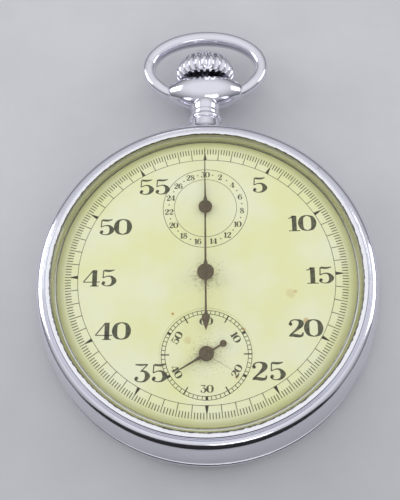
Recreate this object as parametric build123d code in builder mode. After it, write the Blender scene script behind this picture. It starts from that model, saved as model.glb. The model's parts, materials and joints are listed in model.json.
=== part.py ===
from build123d import *

import os
from dataclasses import dataclass
from math import acos, atan2, cos, degrees, radians, sin, sqrt

# A pocket stopwatch in a press-on case: sweep seconds, a 30 minute counter under 12, running seconds
# above 6, and one crown that winds it and works the start, stop and return of the sweep hand.
# Millimetres. The origin is the centre of the flat of the back, where the watch lies. +Z comes out of
# the dial, +Y points to 12 and the pendant, +X to 3.

os.makedirs("parts", exist_ok=True)

# ---- driving dimensions: the case ----
CASE_R = 25.45  # widest radius of the case middle
BACK_R = 25.70  # radius of the back cover's bead
BEZEL_R = 24.65  # radius of the bezel where it meets the middle
BORE_R = 21.60  # bore that takes the movement
RIB_R = 20.90  # inner rib that the plate's flange lies on
BACK_FLAT_R = 18.0  # flat of the back cover
BACK_T = 0.6
SEAM_Z = 2.2  # back cover to middle
SHOULDER_Z = 8.90  # middle to bezel
SPIGOT_Z = 9.45
SPIGOT_R = 23.20
BACK_SPIGOT_R = 23.30
BACK_SPIGOT_Z = 1.6
CRYSTAL_R = 22.20
CRYSTAL_SEAT_Z = 9.75
CRYSTAL_TOP_Z = 12.80
LIP_Z = 10.95
SNAP = 0.05  # radial play of the snap fits

# ---- driving dimensions: the movement ----
DIAL_TOP = 9.5
DIAL_T = 0.4
DIAL_R = 21.4
PLATE_TOP = 9.1
PLATE_BOTTOM = 7.3
FLANGE_Z = 8.3
BRIDGE_TOP = 4.3
BRIDGE_BOTTOM = 3.5
BRIDGE_R = 20.5
PLAY = 0.05  # radial play of an arbor in its hole
PIVOT_R = 0.25
JEWEL_R = 0.65

# ---- driving dimensions: pendant, crown and bow ----
AXIS_Z = 5.2  # height of the pendant's axis
STEM_R = 0.75
NECK_R = 2.35
FOOT_R = 2.95  # flare of the pendant where it meets the case
FOOT_Y = 25.15
HEAD_X = 5.9
HEAD_Y = 33.1  # the bow's pivots
BOAT_R = 3.1  # the head at its middle
BOAT_TIP_R = 1.25  # the head at its ends
CROWN_R = 4.92
HEAD_TOP = 34.25
CROWN_LOW = 34.95  # leaves room over the head for the push
CROWN_HIGH = 39.6
FLUTES = 24
STEM_DEPTH = 2.0  # how far the stem goes into the crown
BOW_Y = 37.6
BOW_A = 9.3  # half width of the bow's centreline
BOW_B = 5.95  # half height of the bow's centreline
BOW_RADIAL = 1.08
BOW_AXIAL = 1.25
BOW_END_X = 6.0

# ---- the movement's centres ----
CENTRE = (0.0, 0.0)
MINUTE = (0.0, 10.53)
FOURTH = (0.0, -11.43)
BARREL = (-10.5, 8.2)
BALANCE = (11.0, -7.0)
PALLET = (7.19, -9.02)
COLUMN = (12.0, 7.0)


def meet(a, b, from_a, from_b):
    """The point at distance from_a of a and from_b of b, on the right of the way from a to b."""
    dx = b[0] - a[0]
    dy = b[1] - a[1]
    apart = sqrt(dx * dx + dy * dy)
    along = (from_a**2 - from_b**2 + apart**2) / (2 * apart)
    across = sqrt(from_a**2 - along**2)
    return (a[0] + (along * dx + across * dy) / apart, a[1] + (along * dy - across * dx) / apart)


def facing(a, b):
    """Angle in degrees of the way from a to b."""
    return degrees(atan2(b[1] - a[1], b[0] - a[0]))


def step(a, angle, length):
    """The point at a length from a, along an angle in degrees."""
    return (a[0] + length * cos(radians(angle)), a[1] + length * sin(radians(angle)))


# ---- tooth counts and modules: a wheel's pitch radius is teeth * module / 2 ----
BARREL_TEETH, BARREL_MODULE = 84, 0.18
SECOND_LEAVES = 12
SECOND_TEETH, SECOND_MODULE = 80, 0.18
THIRD_LEAVES = 10
THIRD_TEETH, THIRD_MODULE = 75, 0.15
FOURTH_LEAVES = 10
FOURTH_TEETH, FOURTH_MODULE = 80, 0.10
ESCAPE_LEAVES = 8
ESCAPE_TEETH = 15
RATCHET_TEETH, CROWN_TEETH, WINDING_TEETH, WINDING_MODULE = 78, 32, 16, 0.20
CHRONO_TEETH, COUPLING_TEETH, CHRONO_MODULE = 108, 34, 0.08
CHRONO_LEAVES, INTERMEDIATE_TEETH, INTERMEDIATE_MODULE = 10, 60, 0.14
INTERMEDIATE_LEAVES, MINUTE_TEETH, MINUTE_MODULE = 10, 50, 0.19


def reach(teeth, leaves, module):
    """Centre distance of a wheel and its pinion."""
    return (teeth + leaves) * module / 2


SECOND = step(BARREL, -79.3, reach(BARREL_TEETH, SECOND_LEAVES, BARREL_MODULE))
THIRD = meet(
    SECOND,
    FOURTH,
    reach(SECOND_TEETH, THIRD_LEAVES, SECOND_MODULE),
    reach(THIRD_TEETH, FOURTH_LEAVES, THIRD_MODULE),
)
ESCAPE = step(FOURTH, 10.0, reach(FOURTH_TEETH, ESCAPE_LEAVES, FOURTH_MODULE))
CROWN_WHEEL = step(BARREL, 36.0, reach(RATCHET_TEETH, CROWN_TEETH, WINDING_MODULE))
INTERMEDIATE = meet(
    CENTRE,
    MINUTE,
    reach(CHRONO_LEAVES, INTERMEDIATE_TEETH, INTERMEDIATE_MODULE),
    reach(INTERMEDIATE_LEAVES, MINUTE_TEETH, MINUTE_MODULE),
)
COUPLING = (0.0, FOURTH[1] / 2)
WINDING_Y = 16.6  # inner face of the winding pinion
WINDING_LENGTH = 1.8
CLICK = step(BARREL, -95.0, 9.3)


@dataclass
class Gear:
    """One ring of teeth on an arbor: its teeth, module, height and the angle of one tooth."""

    teeth: int
    module: float
    low: float
    high: float
    phase: float
    spokes: int = 0

    def outline(self, centre):
        """Corners of the teeth, four to a tooth, with straight flanks."""
        pitch = 360.0 / self.teeth
        root = self.module * (self.teeth / 2 - 1.25)
        tip = self.module * (self.teeth / 2 + 0.8)
        corners = []
        for tooth in range(self.teeth):
            middle = self.phase + tooth * pitch
            corners.append(step(centre, middle - 0.24 * pitch, root))
            corners.append(step(centre, middle - 0.07 * pitch, tip))
            corners.append(step(centre, middle + 0.07 * pitch, tip))
            corners.append(step(centre, middle + 0.24 * pitch, root))
        return corners


def save(part, name):
    """Label a finished piece and write it."""
    part.label = name
    export_step(part, f"parts/{name}.step")


def save_group(name, *parts):
    """Write several separate solids as one node."""
    save(Compound(children=[solid for part in parts for solid in part.solids()]), name)


def make_arbor(name, centre, shaft, gears, hubs=(), bore=0.0):
    """A turned arbor with its toothed wheels, crossed out by spokes where the wheel is large.

    shaft and hubs are (radius, low, high); bore is the radius of a hole right through.
    """
    with BuildPart() as arbor:
        for radius, low, high in (shaft, *hubs):
            with BuildSketch(Plane((*centre, low))):
                Circle(radius)
            extrude(amount=high - low)
        for gear in gears:
            with BuildSketch(Plane.XY.offset(gear.low)):
                with BuildLine():
                    Polyline(*gear.outline(centre), close=True)
                make_face()
            extrude(amount=gear.high - gear.low)
        for gear in gears:
            if not gear.spokes:
                continue
            rim = gear.module * (gear.teeth / 2 - 1.25)
            with BuildSketch(Plane((*centre, gear.low))):
                Circle(rim * 0.84)
                Circle(rim * 0.30, mode=Mode.SUBTRACT)
                for spoke in range(gear.spokes):
                    turn = spoke * 360.0 / gear.spokes
                    with Locations(step((0, 0), turn, rim / 2)):
                        Rectangle(rim * 1.2, rim * 0.11, rotation=turn, mode=Mode.SUBTRACT)
            extrude(amount=gear.high - gear.low, mode=Mode.SUBTRACT)
        if bore:
            with BuildSketch(Plane((*centre, shaft[1]))):
                Circle(bore)
            extrude(amount=shaft[2] - shaft[1], mode=Mode.SUBTRACT)
    save(arbor.part, name)


def make_turned(profile, axis=Axis.Z, plane=Plane.XZ):
    """A piece turned from a closed outline of lines and three-point arcs.

    profile is a list of points (radius, height); a point written (through, end) is an arc.
    """
    with BuildPart() as turned:
        with BuildSketch(plane):
            with BuildLine():
                here = profile[0]
                for target in profile[1:]:
                    if isinstance(target[0], tuple):
                        ThreePointArc(here, target[0], target[1])
                        here = target[1]
                    else:
                        Line(here, target)
                        here = target
                Line(here, profile[0])
            make_face()
        revolve(axis=axis)
    return turned.part


# ---- case ----


def make_case_middle():
    """The middle of the case: a bulging band with a spigot at each side and a rib for the plate."""
    with BuildPart() as middle:
        add(
            make_turned(
        [
                    (BACK_SPIGOT_R, SEAM_Z),
                    (CASE_R - 0.2, SEAM_Z),
                    ((CASE_R, SEAM_Z + 1.5), (CASE_R - 0.12, SEAM_Z + 2.6)),
                    ((CASE_R - 0.42, SEAM_Z + 4.6), (BEZEL_R, SHOULDER_Z)),
                    (SPIGOT_R, SHOULDER_Z),
                    (SPIGOT_R, SPIGOT_Z),
                    (BORE_R, SPIGOT_Z),
                    (BORE_R, FLANGE_Z),
                    (RIB_R, FLANGE_Z),
                    (RIB_R, PLATE_BOTTOM),
                    (BORE_R, PLATE_BOTTOM),
                    (BORE_R, BACK_SPIGOT_Z),
                    (BACK_SPIGOT_R, BACK_SPIGOT_Z),
                ],
            )
        )
        with BuildSketch(Plane((0, BORE_R - 1.0, AXIS_Z), x_dir=(1, 0, 0), z_dir=(0, 1, 0))):
            Circle(NECK_R - 0.6)
        extrude(amount=CASE_R - BORE_R + 2.0, mode=Mode.SUBTRACT)
        with BuildSketch(Plane((0, FOOT_Y, AXIS_Z), x_dir=(1, 0, 0), z_dir=(0, 1, 0))):
            Circle(FOOT_R + 0.02)
        extrude(amount=CASE_R - FOOT_Y + 1.0, mode=Mode.SUBTRACT)
    save(middle.part, "case_middle")


def make_bezel():
    """The press-on bezel: a rounded ring with a seat for the crystal and a thin lip around it."""
    bezel = make_turned(
        [
            (SPIGOT_R + SNAP, SHOULDER_Z + SNAP),
            (BEZEL_R, SHOULDER_Z + SNAP),
            ((24.32, 10.05), (22.95, LIP_Z)),
            (CRYSTAL_R + SNAP, LIP_Z),
            (CRYSTAL_R + SNAP, CRYSTAL_SEAT_Z - 0.03),
            (21.75, CRYSTAL_SEAT_Z - 0.03),
            (21.75, SPIGOT_Z + 0.06),
            (SPIGOT_R + SNAP, SPIGOT_Z + 0.06),
        ],
    )
    save(bezel, "bezel")


def on_dome(radius, edge, top):
    """A point halfway out on the arc that is level at the axis, from its top to its edge."""
    dome = (radius**2 + (top - edge) ** 2) / (2 * (top - edge))
    return (radius / 2, top - dome + sqrt(dome**2 - radius**2 / 4))


def make_crystal():
    """The domed glass: an upright edge, a rounded shoulder and a shallow dome."""
    crystal = make_turned(
        [
            (21.35, CRYSTAL_SEAT_Z),
            (CRYSTAL_R, CRYSTAL_SEAT_Z),
            (CRYSTAL_R, 10.9),
            ((21.85, 11.62), (20.9, 12.0)),
            (on_dome(20.9, 12.0, CRYSTAL_TOP_Z), (0, CRYSTAL_TOP_Z)),
            (0, 12.05),
            (on_dome(20.5, 11.35, 12.05), (20.5, 11.35)),
            ((21.15, 11.05), (21.35, 10.6)),
        ],
    )
    save(crystal, "crystal")


def make_back_cover():
    """The press-on back: a flat that turns up through a round edge to a bead at the seam."""
    cover = make_turned(
        [
            (0, 0),
            (BACK_FLAT_R, 0),
            ((BACK_R - 2.4, 0.45), (BACK_R, 1.45)),
            ((BACK_R + 0.02, 1.85), (BACK_R - 0.35, SEAM_Z - SNAP)),
            (BACK_SPIGOT_R + SNAP, SEAM_Z - SNAP),
            (BACK_SPIGOT_R + SNAP, BACK_SPIGOT_Z - 0.35),
            ((21.4, 0.85), (BACK_FLAT_R, BACK_T)),
            (0, BACK_T),
        ],
    )
    save(cover, "back_cover")


# ---- pendant, crown and bow ----

PENDANT_AXIS = Axis((0, 0, AXIS_Z), (0, 1, 0))
PENDANT_PLANE = Plane.XY.offset(AXIS_Z)


def make_pendant():
    """The pendant: a flared foot on the case, a beaded neck and a boat-shaped head for the bow."""
    stock = make_turned(
        [
            (0, BORE_R + 0.3),
            (NECK_R - 0.65, BORE_R + 0.3),
            (NECK_R - 0.65, FOOT_Y + 0.01),
            (FOOT_R, FOOT_Y + 0.01),
            ((2.5, FOOT_Y + 0.9), (NECK_R, FOOT_Y + 2.1)),
            ((2.75, FOOT_Y + 3.1), (NECK_R, FOOT_Y + 4.1)),
            (NECK_R - 0.1, 30.0),
            (NECK_R + 0.4, 31.0),
            (0, 31.5),
        ],
        axis=PENDANT_AXIS,
        plane=PENDANT_PLANE,
    )
    with BuildPart() as pendant:
        with BuildSketch(PENDANT_PLANE):
            with BuildLine():
                Line((-HEAD_X, HEAD_Y), (-HEAD_X, HEAD_Y + BOAT_TIP_R))
                ThreePointArc(
                    (-HEAD_X, HEAD_Y + BOAT_TIP_R), (0, HEAD_Y + BOAT_R), (HEAD_X, HEAD_Y + BOAT_TIP_R)
                )
                Line((HEAD_X, HEAD_Y + BOAT_TIP_R), (HEAD_X, HEAD_Y))
                Line((HEAD_X, HEAD_Y), (-HEAD_X, HEAD_Y))
            make_face()
        revolve(axis=Axis((0, HEAD_Y, AXIS_Z), (1, 0, 0)))
        with BuildSketch(PENDANT_PLANE):
            with Locations((0, HEAD_TOP + BOAT_R)):
                Rectangle(3 * HEAD_X, 2 * BOAT_R)
        extrude(amount=2 * BOAT_R, both=True, mode=Mode.SUBTRACT)
        add(stock)
        with BuildSketch(Plane((0, BORE_R, AXIS_Z), x_dir=(1, 0, 0), z_dir=(0, 1, 0))):
            Circle(STEM_R + PLAY + 0.05)
        extrude(amount=HEAD_TOP - BORE_R + 0.25, mode=Mode.SUBTRACT)
        for side in (-1, 1):
            with BuildSketch(Plane((side * HEAD_X, HEAD_Y, AXIS_Z), z_dir=(-side, 0, 0))):
                Circle(0.75)
            extrude(amount=1.8, mode=Mode.SUBTRACT)
    save(pendant.part, "pendant")


def make_bow():
    """The bow: an oval ring of oval section, open where its turned-in ends enter the head."""
    start = degrees(acos((BOW_END_X - 0.6) / BOW_A))
    with BuildPart() as bow:
        with BuildLine(PENDANT_PLANE) as run:
            EllipticalCenterArc((0, BOW_Y), BOW_A, BOW_B, start_angle=-start, arc_size=180 + 2 * start)
        with BuildSketch(Plane(run.line @ 0, x_dir=(0, 0, 1), z_dir=run.line % 0)):
            Ellipse(BOW_AXIAL, BOW_RADIAL)
        sweep()
        with BuildSketch(PENDANT_PLANE):
            with Locations((0, HEAD_Y)):
                Rectangle(2 * BOW_END_X, 5.0)
        extrude(amount=3.0, both=True, mode=Mode.SUBTRACT)
        for side in (-1, 1):
            with BuildSketch(Plane((side * (BOW_END_X + 0.5), HEAD_Y, AXIS_Z), z_dir=(-side, 0, 0))):
                Circle(0.7)
            extrude(amount=1.9)
    save(bow.part, "bow")


def make_crown():
    """The fluted onion crown, its smooth cap, and the stem that it turns and pushes."""
    body = make_turned(
        [
            (0, CROWN_LOW),
            (4.3, CROWN_LOW),
            ((CROWN_R, CROWN_LOW + 1.2), (4.55, CROWN_LOW + 2.5)),
            ((3.55, CROWN_LOW + 3.9), (1.7, CROWN_HIGH)),
            (0, CROWN_HIGH),
        ],
        axis=PENDANT_AXIS,
        plane=PENDANT_PLANE,
    )
    with BuildPart() as crown:
        add(body)
        with BuildSketch(Plane((0, CROWN_LOW, AXIS_Z), x_dir=(1, 0, 0), z_dir=(0, 1, 0))):
            with PolarLocations(CROWN_R + 0.12, FLUTES):
                Circle(0.36)
        extrude(amount=CROWN_HIGH - CROWN_LOW, mode=Mode.SUBTRACT)
        with BuildSketch(Plane((0, CROWN_LOW, AXIS_Z), x_dir=(1, 0, 0), z_dir=(0, 1, 0))):
            Circle(STEM_R + 0.01)
        extrude(amount=STEM_DEPTH + 0.1, mode=Mode.SUBTRACT)
    save(crown.part, "crown")

    cap = make_turned(
        [
            (0, CROWN_HIGH + 0.01),
            (1.65, CROWN_HIGH + 0.01),
            ((1.4, CROWN_HIGH + 0.42), (0.5, CROWN_HIGH + 0.6)),
            (0, CROWN_HIGH + 0.62),
        ],
        axis=PENDANT_AXIS,
        plane=PENDANT_PLANE,
    )
    save(cap, "crown_cap")

    with BuildPart() as stem:
        with BuildSketch(Plane((0, WINDING_Y - 1.6, AXIS_Z), x_dir=(1, 0, 0), z_dir=(0, 1, 0))):
            Circle(STEM_R)
        extrude(amount=CROWN_LOW + STEM_DEPTH - WINDING_Y + 1.6)
        with BuildSketch(Plane((0, WINDING_Y - 1.6, AXIS_Z), x_dir=(1, 0, 0), z_dir=(0, 1, 0))):
            Circle(STEM_R + 0.1)
            Rectangle(1.05, 1.05, mode=Mode.SUBTRACT)
        extrude(amount=5.4, mode=Mode.SUBTRACT)
    save(stem.part, "winding_stem")

    with BuildPart() as pinion:
        with BuildSketch(Plane((0, WINDING_Y, AXIS_Z), x_dir=(1, 0, 0), z_dir=(0, 1, 0))):
            Circle(1.28)
            with PolarLocations(1.4, WINDING_TEETH):
                Rectangle(0.4, 0.2)
            Rectangle(1.15, 1.15, mode=Mode.SUBTRACT)
        extrude(amount=WINDING_LENGTH)
    save(pinion.part, "winding_pinion")


# ---- dial and hands ----

SUBDIAL_R = 6.6
SUBDIAL_SINK = 0.1
HAND_T = 0.12
SWEEP_Z = 11.1
SMALL_HAND_Z = 9.95
HUB_T = 0.3
SECONDS_SHOWN = 39.9  # second that the running hand points to
DIAL_FEET = [step(CENTRE, angle, 18.6) for angle in (62, 182, 302)]


def make_dial():
    """The dial: a thin disc with a sunk seconds circle, three arbor holes, and soldered feet."""
    with BuildPart() as dial:
        with BuildSketch(Plane.XY.offset(DIAL_TOP - DIAL_T)):
            Circle(DIAL_R)
            with Locations(CENTRE, MINUTE, FOURTH):
                Circle(0.5, mode=Mode.SUBTRACT)
        extrude(amount=DIAL_T)
        with BuildSketch(Plane((*FOURTH, DIAL_TOP))):
            Circle(SUBDIAL_R)
        extrude(amount=-SUBDIAL_SINK, mode=Mode.SUBTRACT)
    save(dial.part, "dial")

    with BuildPart() as feet:
        with BuildSketch(Plane.XY.offset(PLATE_BOTTOM + 0.3)):
            with Locations(*DIAL_FEET):
                Circle(0.4)
        extrude(amount=DIAL_TOP - DIAL_T - PLATE_BOTTOM - 0.3)
    save(feet.part, "dial_feet")


def make_hand(centre, height, points, hub_r, arbor_r, discs=()):
    """A flat hand with a raised round hub. points go up one side from the tail to the tip."""
    with BuildPart() as hand:
        with BuildSketch(Plane((*centre, height))):
            with BuildLine():
                Polyline(*points, *((-x, y) for x, y in reversed(points)), close=True)
            make_face()
            for offset, radius in discs:
                with Locations((0, offset)):
                    Circle(radius)
            Circle(hub_r)
        extrude(amount=HAND_T)
        with BuildSketch(Plane((*centre, height))):
            Circle(hub_r * 0.8)
        extrude(amount=HUB_T)
        with BuildSketch(Plane((*centre, height))):
            Circle(arbor_r + 0.01)
        extrude(amount=HUB_T - 0.08, mode=Mode.SUBTRACT)
    return hand.part


def make_hands():
    """The sweep hand with its arrow tail, the minute hand, and the running seconds hand."""
    sweep_points = [
        (0.04, -8.4),
        (0.575, -6.5),
        (0.2, -6.2),
        (0.15, -1.0),
        (0.16, 1.0),
        (0.06, 19.6),
    ]
    save(make_hand(CENTRE, SWEEP_Z, sweep_points, 1.2, 0.3), "sweep_hand")
    minute_points = [(0.12, -1.9), (0.16, 0.0), (0.06, 4.5)]
    save(make_hand(MINUTE, SMALL_HAND_Z, minute_points, 1.0, 0.25), "minute_hand")
    seconds_points = [(0.1, -2.7), (0.16, 0.0), (0.06, 4.8)]
    seconds = make_hand(CENTRE, 0, seconds_points, 1.05, 0.25, discs=[(-2.7, 0.48)])
    turned = seconds.rotate(Axis.Z, -SECONDS_SHOWN * 6.0)
    save(turned.moved(Location((*FOURTH, SMALL_HAND_Z))), "seconds_hand")


# ---- plates, bridges and screws ----

BARREL_SCREWS = [(6.6, 10.6), (-19.3, 3.4), (-4.4, 18.4)]
TRAIN_SCREWS = [(-17.0, -9.0), (-4.5, -17.5), (3.6, -1.0)]
COCK_SCREWS = [(16.2, 2.6)]
PALLET_SCREWS = [(8.6, -13.6)]
CHRONO_SCREWS = [(6.6, 4.6), (-5.6, -1.5)]
CASE_SCREWS = [step(CENTRE, angle, 20.15) for angle in (115, -20)]
PILLAR_R = 1.25
SCREW_R = 0.4
HEAD_R = 0.8
HEAD_T = 0.4
COCK_LOW = 2.9
COCK_HIGH = 3.6
CHRONO_LOW = 1.2
CHRONO_HIGH = 1.75
PALLET_LOW = 5.3
PALLET_HIGH = 5.7


def make_mainplate():
    """The plate that carries the whole movement, with a flange that lies on the case's rib."""
    with BuildPart() as plate:
        with BuildSketch(Plane.XY.offset(PLATE_BOTTOM)):
            Circle(RIB_R - SNAP)
        extrude(amount=PLATE_TOP - PLATE_BOTTOM)
        with BuildSketch(Plane.XY.offset(FLANGE_Z)):
            Circle(BORE_R - SNAP)
        extrude(amount=PLATE_TOP - FLANGE_Z)
        with BuildSketch(Plane.XY.offset(PLATE_BOTTOM)):
            with Locations(*PLATE_JEWELS):
                Circle(JEWEL_R + 0.01)
            with Locations(BARREL):
                Circle(0.7 + PLAY)
            with Locations(*DIAL_FEET):
                Circle(0.45)
            with Locations(*BARREL_SCREWS, *TRAIN_SCREWS, *COCK_SCREWS, *PALLET_SCREWS, *CASE_SCREWS):
                Circle(SCREW_R + 0.02)
        extrude(amount=PLATE_TOP - PLATE_BOTTOM, mode=Mode.SUBTRACT)
    save(plate.part, "mainplate")


def make_plate_on_pillars(name, low, high, regions, cuts, jewels, screws, pillar_top):
    """A bridge: one flat plate of joined regions, pillars up to the plate, and its holes.

    regions and cuts are functions that draw in the plate's sketch.
    """
    with BuildPart() as bridge:
        with BuildSketch(Plane.XY.offset(low)):
            add(regions())
            for centre, radius in cuts:
                with Locations(centre):
                    Circle(radius, mode=Mode.SUBTRACT)
        extrude(amount=high - low)
        with BuildSketch(Plane.XY.offset(low)):
            with Locations(*screws):
                Circle(PILLAR_R)
        extrude(amount=pillar_top - low)
        with BuildSketch(Plane.XY.offset(low)):
            with Locations(*screws):
                Circle(SCREW_R + 0.02)
            if jewels:
                with Locations(*jewels):
                    Circle(JEWEL_R + 0.01)
        extrude(amount=pillar_top - low, mode=Mode.SUBTRACT)
    save(bridge.part, name)


def strip(a, b, width):
    """A straight bar with round ends from a to b, as a sketch."""
    with BuildSketch() as bar:
        with Locations(((a[0] + b[0]) / 2, (a[1] + b[1]) / 2)):
            SlotCenterToCenter(sqrt((a[0] - b[0]) ** 2 + (a[1] - b[1]) ** 2), width, rotation=facing(a, b))
    return bar.sketch


def barrel_region():
    """The half moon over the barrel and the keyless work, cut back for the winding pinion."""
    with BuildSketch() as region:
        Circle(BRIDGE_R)
        with Locations((-6.6, 11.2)):
            Rectangle(29.2, 18.6, mode=Mode.INTERSECT)
        with Locations((0, 19.5)):
            Rectangle(4.4, 8.0, mode=Mode.SUBTRACT)
    return region.sketch


def train_region():
    """The half moon over the wheels of the train, cut back beside the balance."""
    with BuildSketch() as region:
        Circle(BRIDGE_R)
        with Locations((-7.4, -9.7)):
            Rectangle(26.6, 22.6, mode=Mode.INTERSECT)
    return region.sketch


def cock_arm():
    """The balance cock's outline: a bar with a round head over the balance's centre."""
    with BuildSketch() as region:
        add(strip(COCK_SCREWS[0], BALANCE, 3.2))
        with Locations(BALANCE):
            Circle(2.3)
    return region.sketch


def pallet_arm():
    """The pallet cock's outline."""
    return strip(PALLET_SCREWS[0], PALLET, 2.3)


def chronograph_arms():
    """The chronograph bridge's outline: a bar over three arbors, with an arm to each foot."""
    with BuildSketch() as region:
        add(strip(CENTRE, MINUTE, 3.0))
        add(strip(INTERMEDIATE, CHRONO_SCREWS[0], 2.6))
        add(strip(CENTRE, CHRONO_SCREWS[1], 2.6))
    return region.sketch


PLATE_JEWELS = [CENTRE, MINUTE, FOURTH, SECOND, THIRD, ESCAPE, PALLET, BALANCE]
TRAIN_JEWELS = [CENTRE, SECOND, THIRD, FOURTH, ESCAPE]
BARREL_JEWELS = [MINUTE, INTERMEDIATE]


def make_bridges():
    """The bridges and cocks that close the movement at the back."""
    make_plate_on_pillars(
        "barrel_bridge",
        BRIDGE_BOTTOM,
        BRIDGE_TOP,
        barrel_region,
        [(BARREL, 0.7 + PLAY), (CROWN_WHEEL, 0.6), (CHRONO_SCREWS[0], SCREW_R + 0.02), (COLUMN, 3.0)],
        BARREL_JEWELS,
        BARREL_SCREWS,
        PLATE_BOTTOM,
    )
    make_plate_on_pillars(
        "train_bridge",
        BRIDGE_BOTTOM,
        BRIDGE_TOP,
        train_region,
        [(CLICK, 0.36), (CHRONO_SCREWS[1], SCREW_R + 0.02), (BALANCE, 7.0)],
        TRAIN_JEWELS,
        TRAIN_SCREWS,
        PLATE_BOTTOM,
    )
    make_plate_on_pillars(
        "balance_cock", COCK_LOW, COCK_HIGH, cock_arm, [], [BALANCE], COCK_SCREWS, PLATE_BOTTOM
    )
    make_plate_on_pillars(
        "pallet_cock", PALLET_LOW, PALLET_HIGH, pallet_arm, [], [PALLET], PALLET_SCREWS, PLATE_BOTTOM
    )
    make_plate_on_pillars(
        "chronograph_bridge",
        CHRONO_LOW,
        CHRONO_HIGH,
        chronograph_arms,
        [],
        [CENTRE, MINUTE, INTERMEDIATE],
        CHRONO_SCREWS,
        BRIDGE_BOTTOM,
    )


def make_screws(places, low, length, head_r=HEAD_R):
    """Slotted cheese-head screws that stand under a plate's lower face, heads towards the back."""
    with BuildPart() as screws:
        with BuildSketch(Plane.XY.offset(low - HEAD_T)):
            with Locations(*places):
                Circle(head_r)
        extrude(amount=HEAD_T)
        with BuildSketch(Plane.XY.offset(low)):
            with Locations(*places):
                Circle(SCREW_R)
        extrude(amount=length)
        with BuildSketch(Plane.XY.offset(low - HEAD_T)):
            with Locations(*places):
                Rectangle(2 * head_r, 0.18)
        extrude(amount=0.18, mode=Mode.SUBTRACT)
    return screws.part


def make_all_screws():
    """Every screw of the bridges, the cocks, the chronograph bridge and the case."""
    save_group(
        "bridge_screws",
        make_screws(BARREL_SCREWS + TRAIN_SCREWS, BRIDGE_BOTTOM, 5.2),
        make_screws(CHRONO_SCREWS, CHRONO_LOW, 2.9),
    )
    save_group(
        "cock_screws",
        make_screws(COCK_SCREWS, COCK_LOW, 5.6),
        make_screws(PALLET_SCREWS, PALLET_LOW, 3.2, head_r=0.6),
    )
    save(make_screws(CASE_SCREWS, PLATE_BOTTOM, 1.6, head_r=1.15), "case_screws")


def make_jewels():
    """The ruby hole jewels, pressed flush into the plate, the bridges and the cocks."""
    stacks = [
        (PLATE_JEWELS, PLATE_BOTTOM, 0.6),
        (TRAIN_JEWELS + BARREL_JEWELS, BRIDGE_BOTTOM, BRIDGE_TOP - BRIDGE_BOTTOM),
        ([BALANCE], COCK_LOW, COCK_HIGH - COCK_LOW),
        ([PALLET], PALLET_LOW, PALLET_HIGH - PALLET_LOW),
        ([CENTRE, MINUTE, INTERMEDIATE], CHRONO_LOW, CHRONO_HIGH - CHRONO_LOW),
    ]
    with BuildPart() as jewels:
        for centres, low, thick in stacks:
            with BuildSketch(Plane.XY.offset(low)):
                with Locations(*centres):
                    Circle(JEWEL_R)
                with Locations(*centres):
                    Circle(PIVOT_R + PLAY, mode=Mode.SUBTRACT)
            extrude(amount=thick)
    save(jewels.part, "jewels")


# ---- power and train ----


def spiral(centre, inner, outer, turns, thick):
    """Outline of a flat coiled strip, with straight chords along both faces."""
    chords = 24
    count = int(turns * chords)
    face_in = []
    face_out = []
    for index in range(count + 1):
        angle = 360.0 * index / chords
        radius = inner + (outer - inner) * index / count
        face_in.append(step(centre, angle, radius - thick / 2))
        face_out.append(step(centre, angle, radius + thick / 2))
    return face_in + face_out[::-1]


def make_coil(name, centre, low, high, inner, outer, turns, thick):
    """A flat coiled spring."""
    with BuildPart() as coil:
        with BuildSketch(Plane.XY.offset(low)):
            with BuildLine():
                Polyline(*spiral(centre, inner, outer, turns, thick), close=True)
            make_face()
        extrude(amount=high - low)
    save(coil.part, name)


DRUM_LOW = 5.3
DRUM_HIGH = 7.0
RATCHET_LOW = 2.9
RATCHET_HIGH = 3.35
ARBOR_R = 0.7


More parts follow.
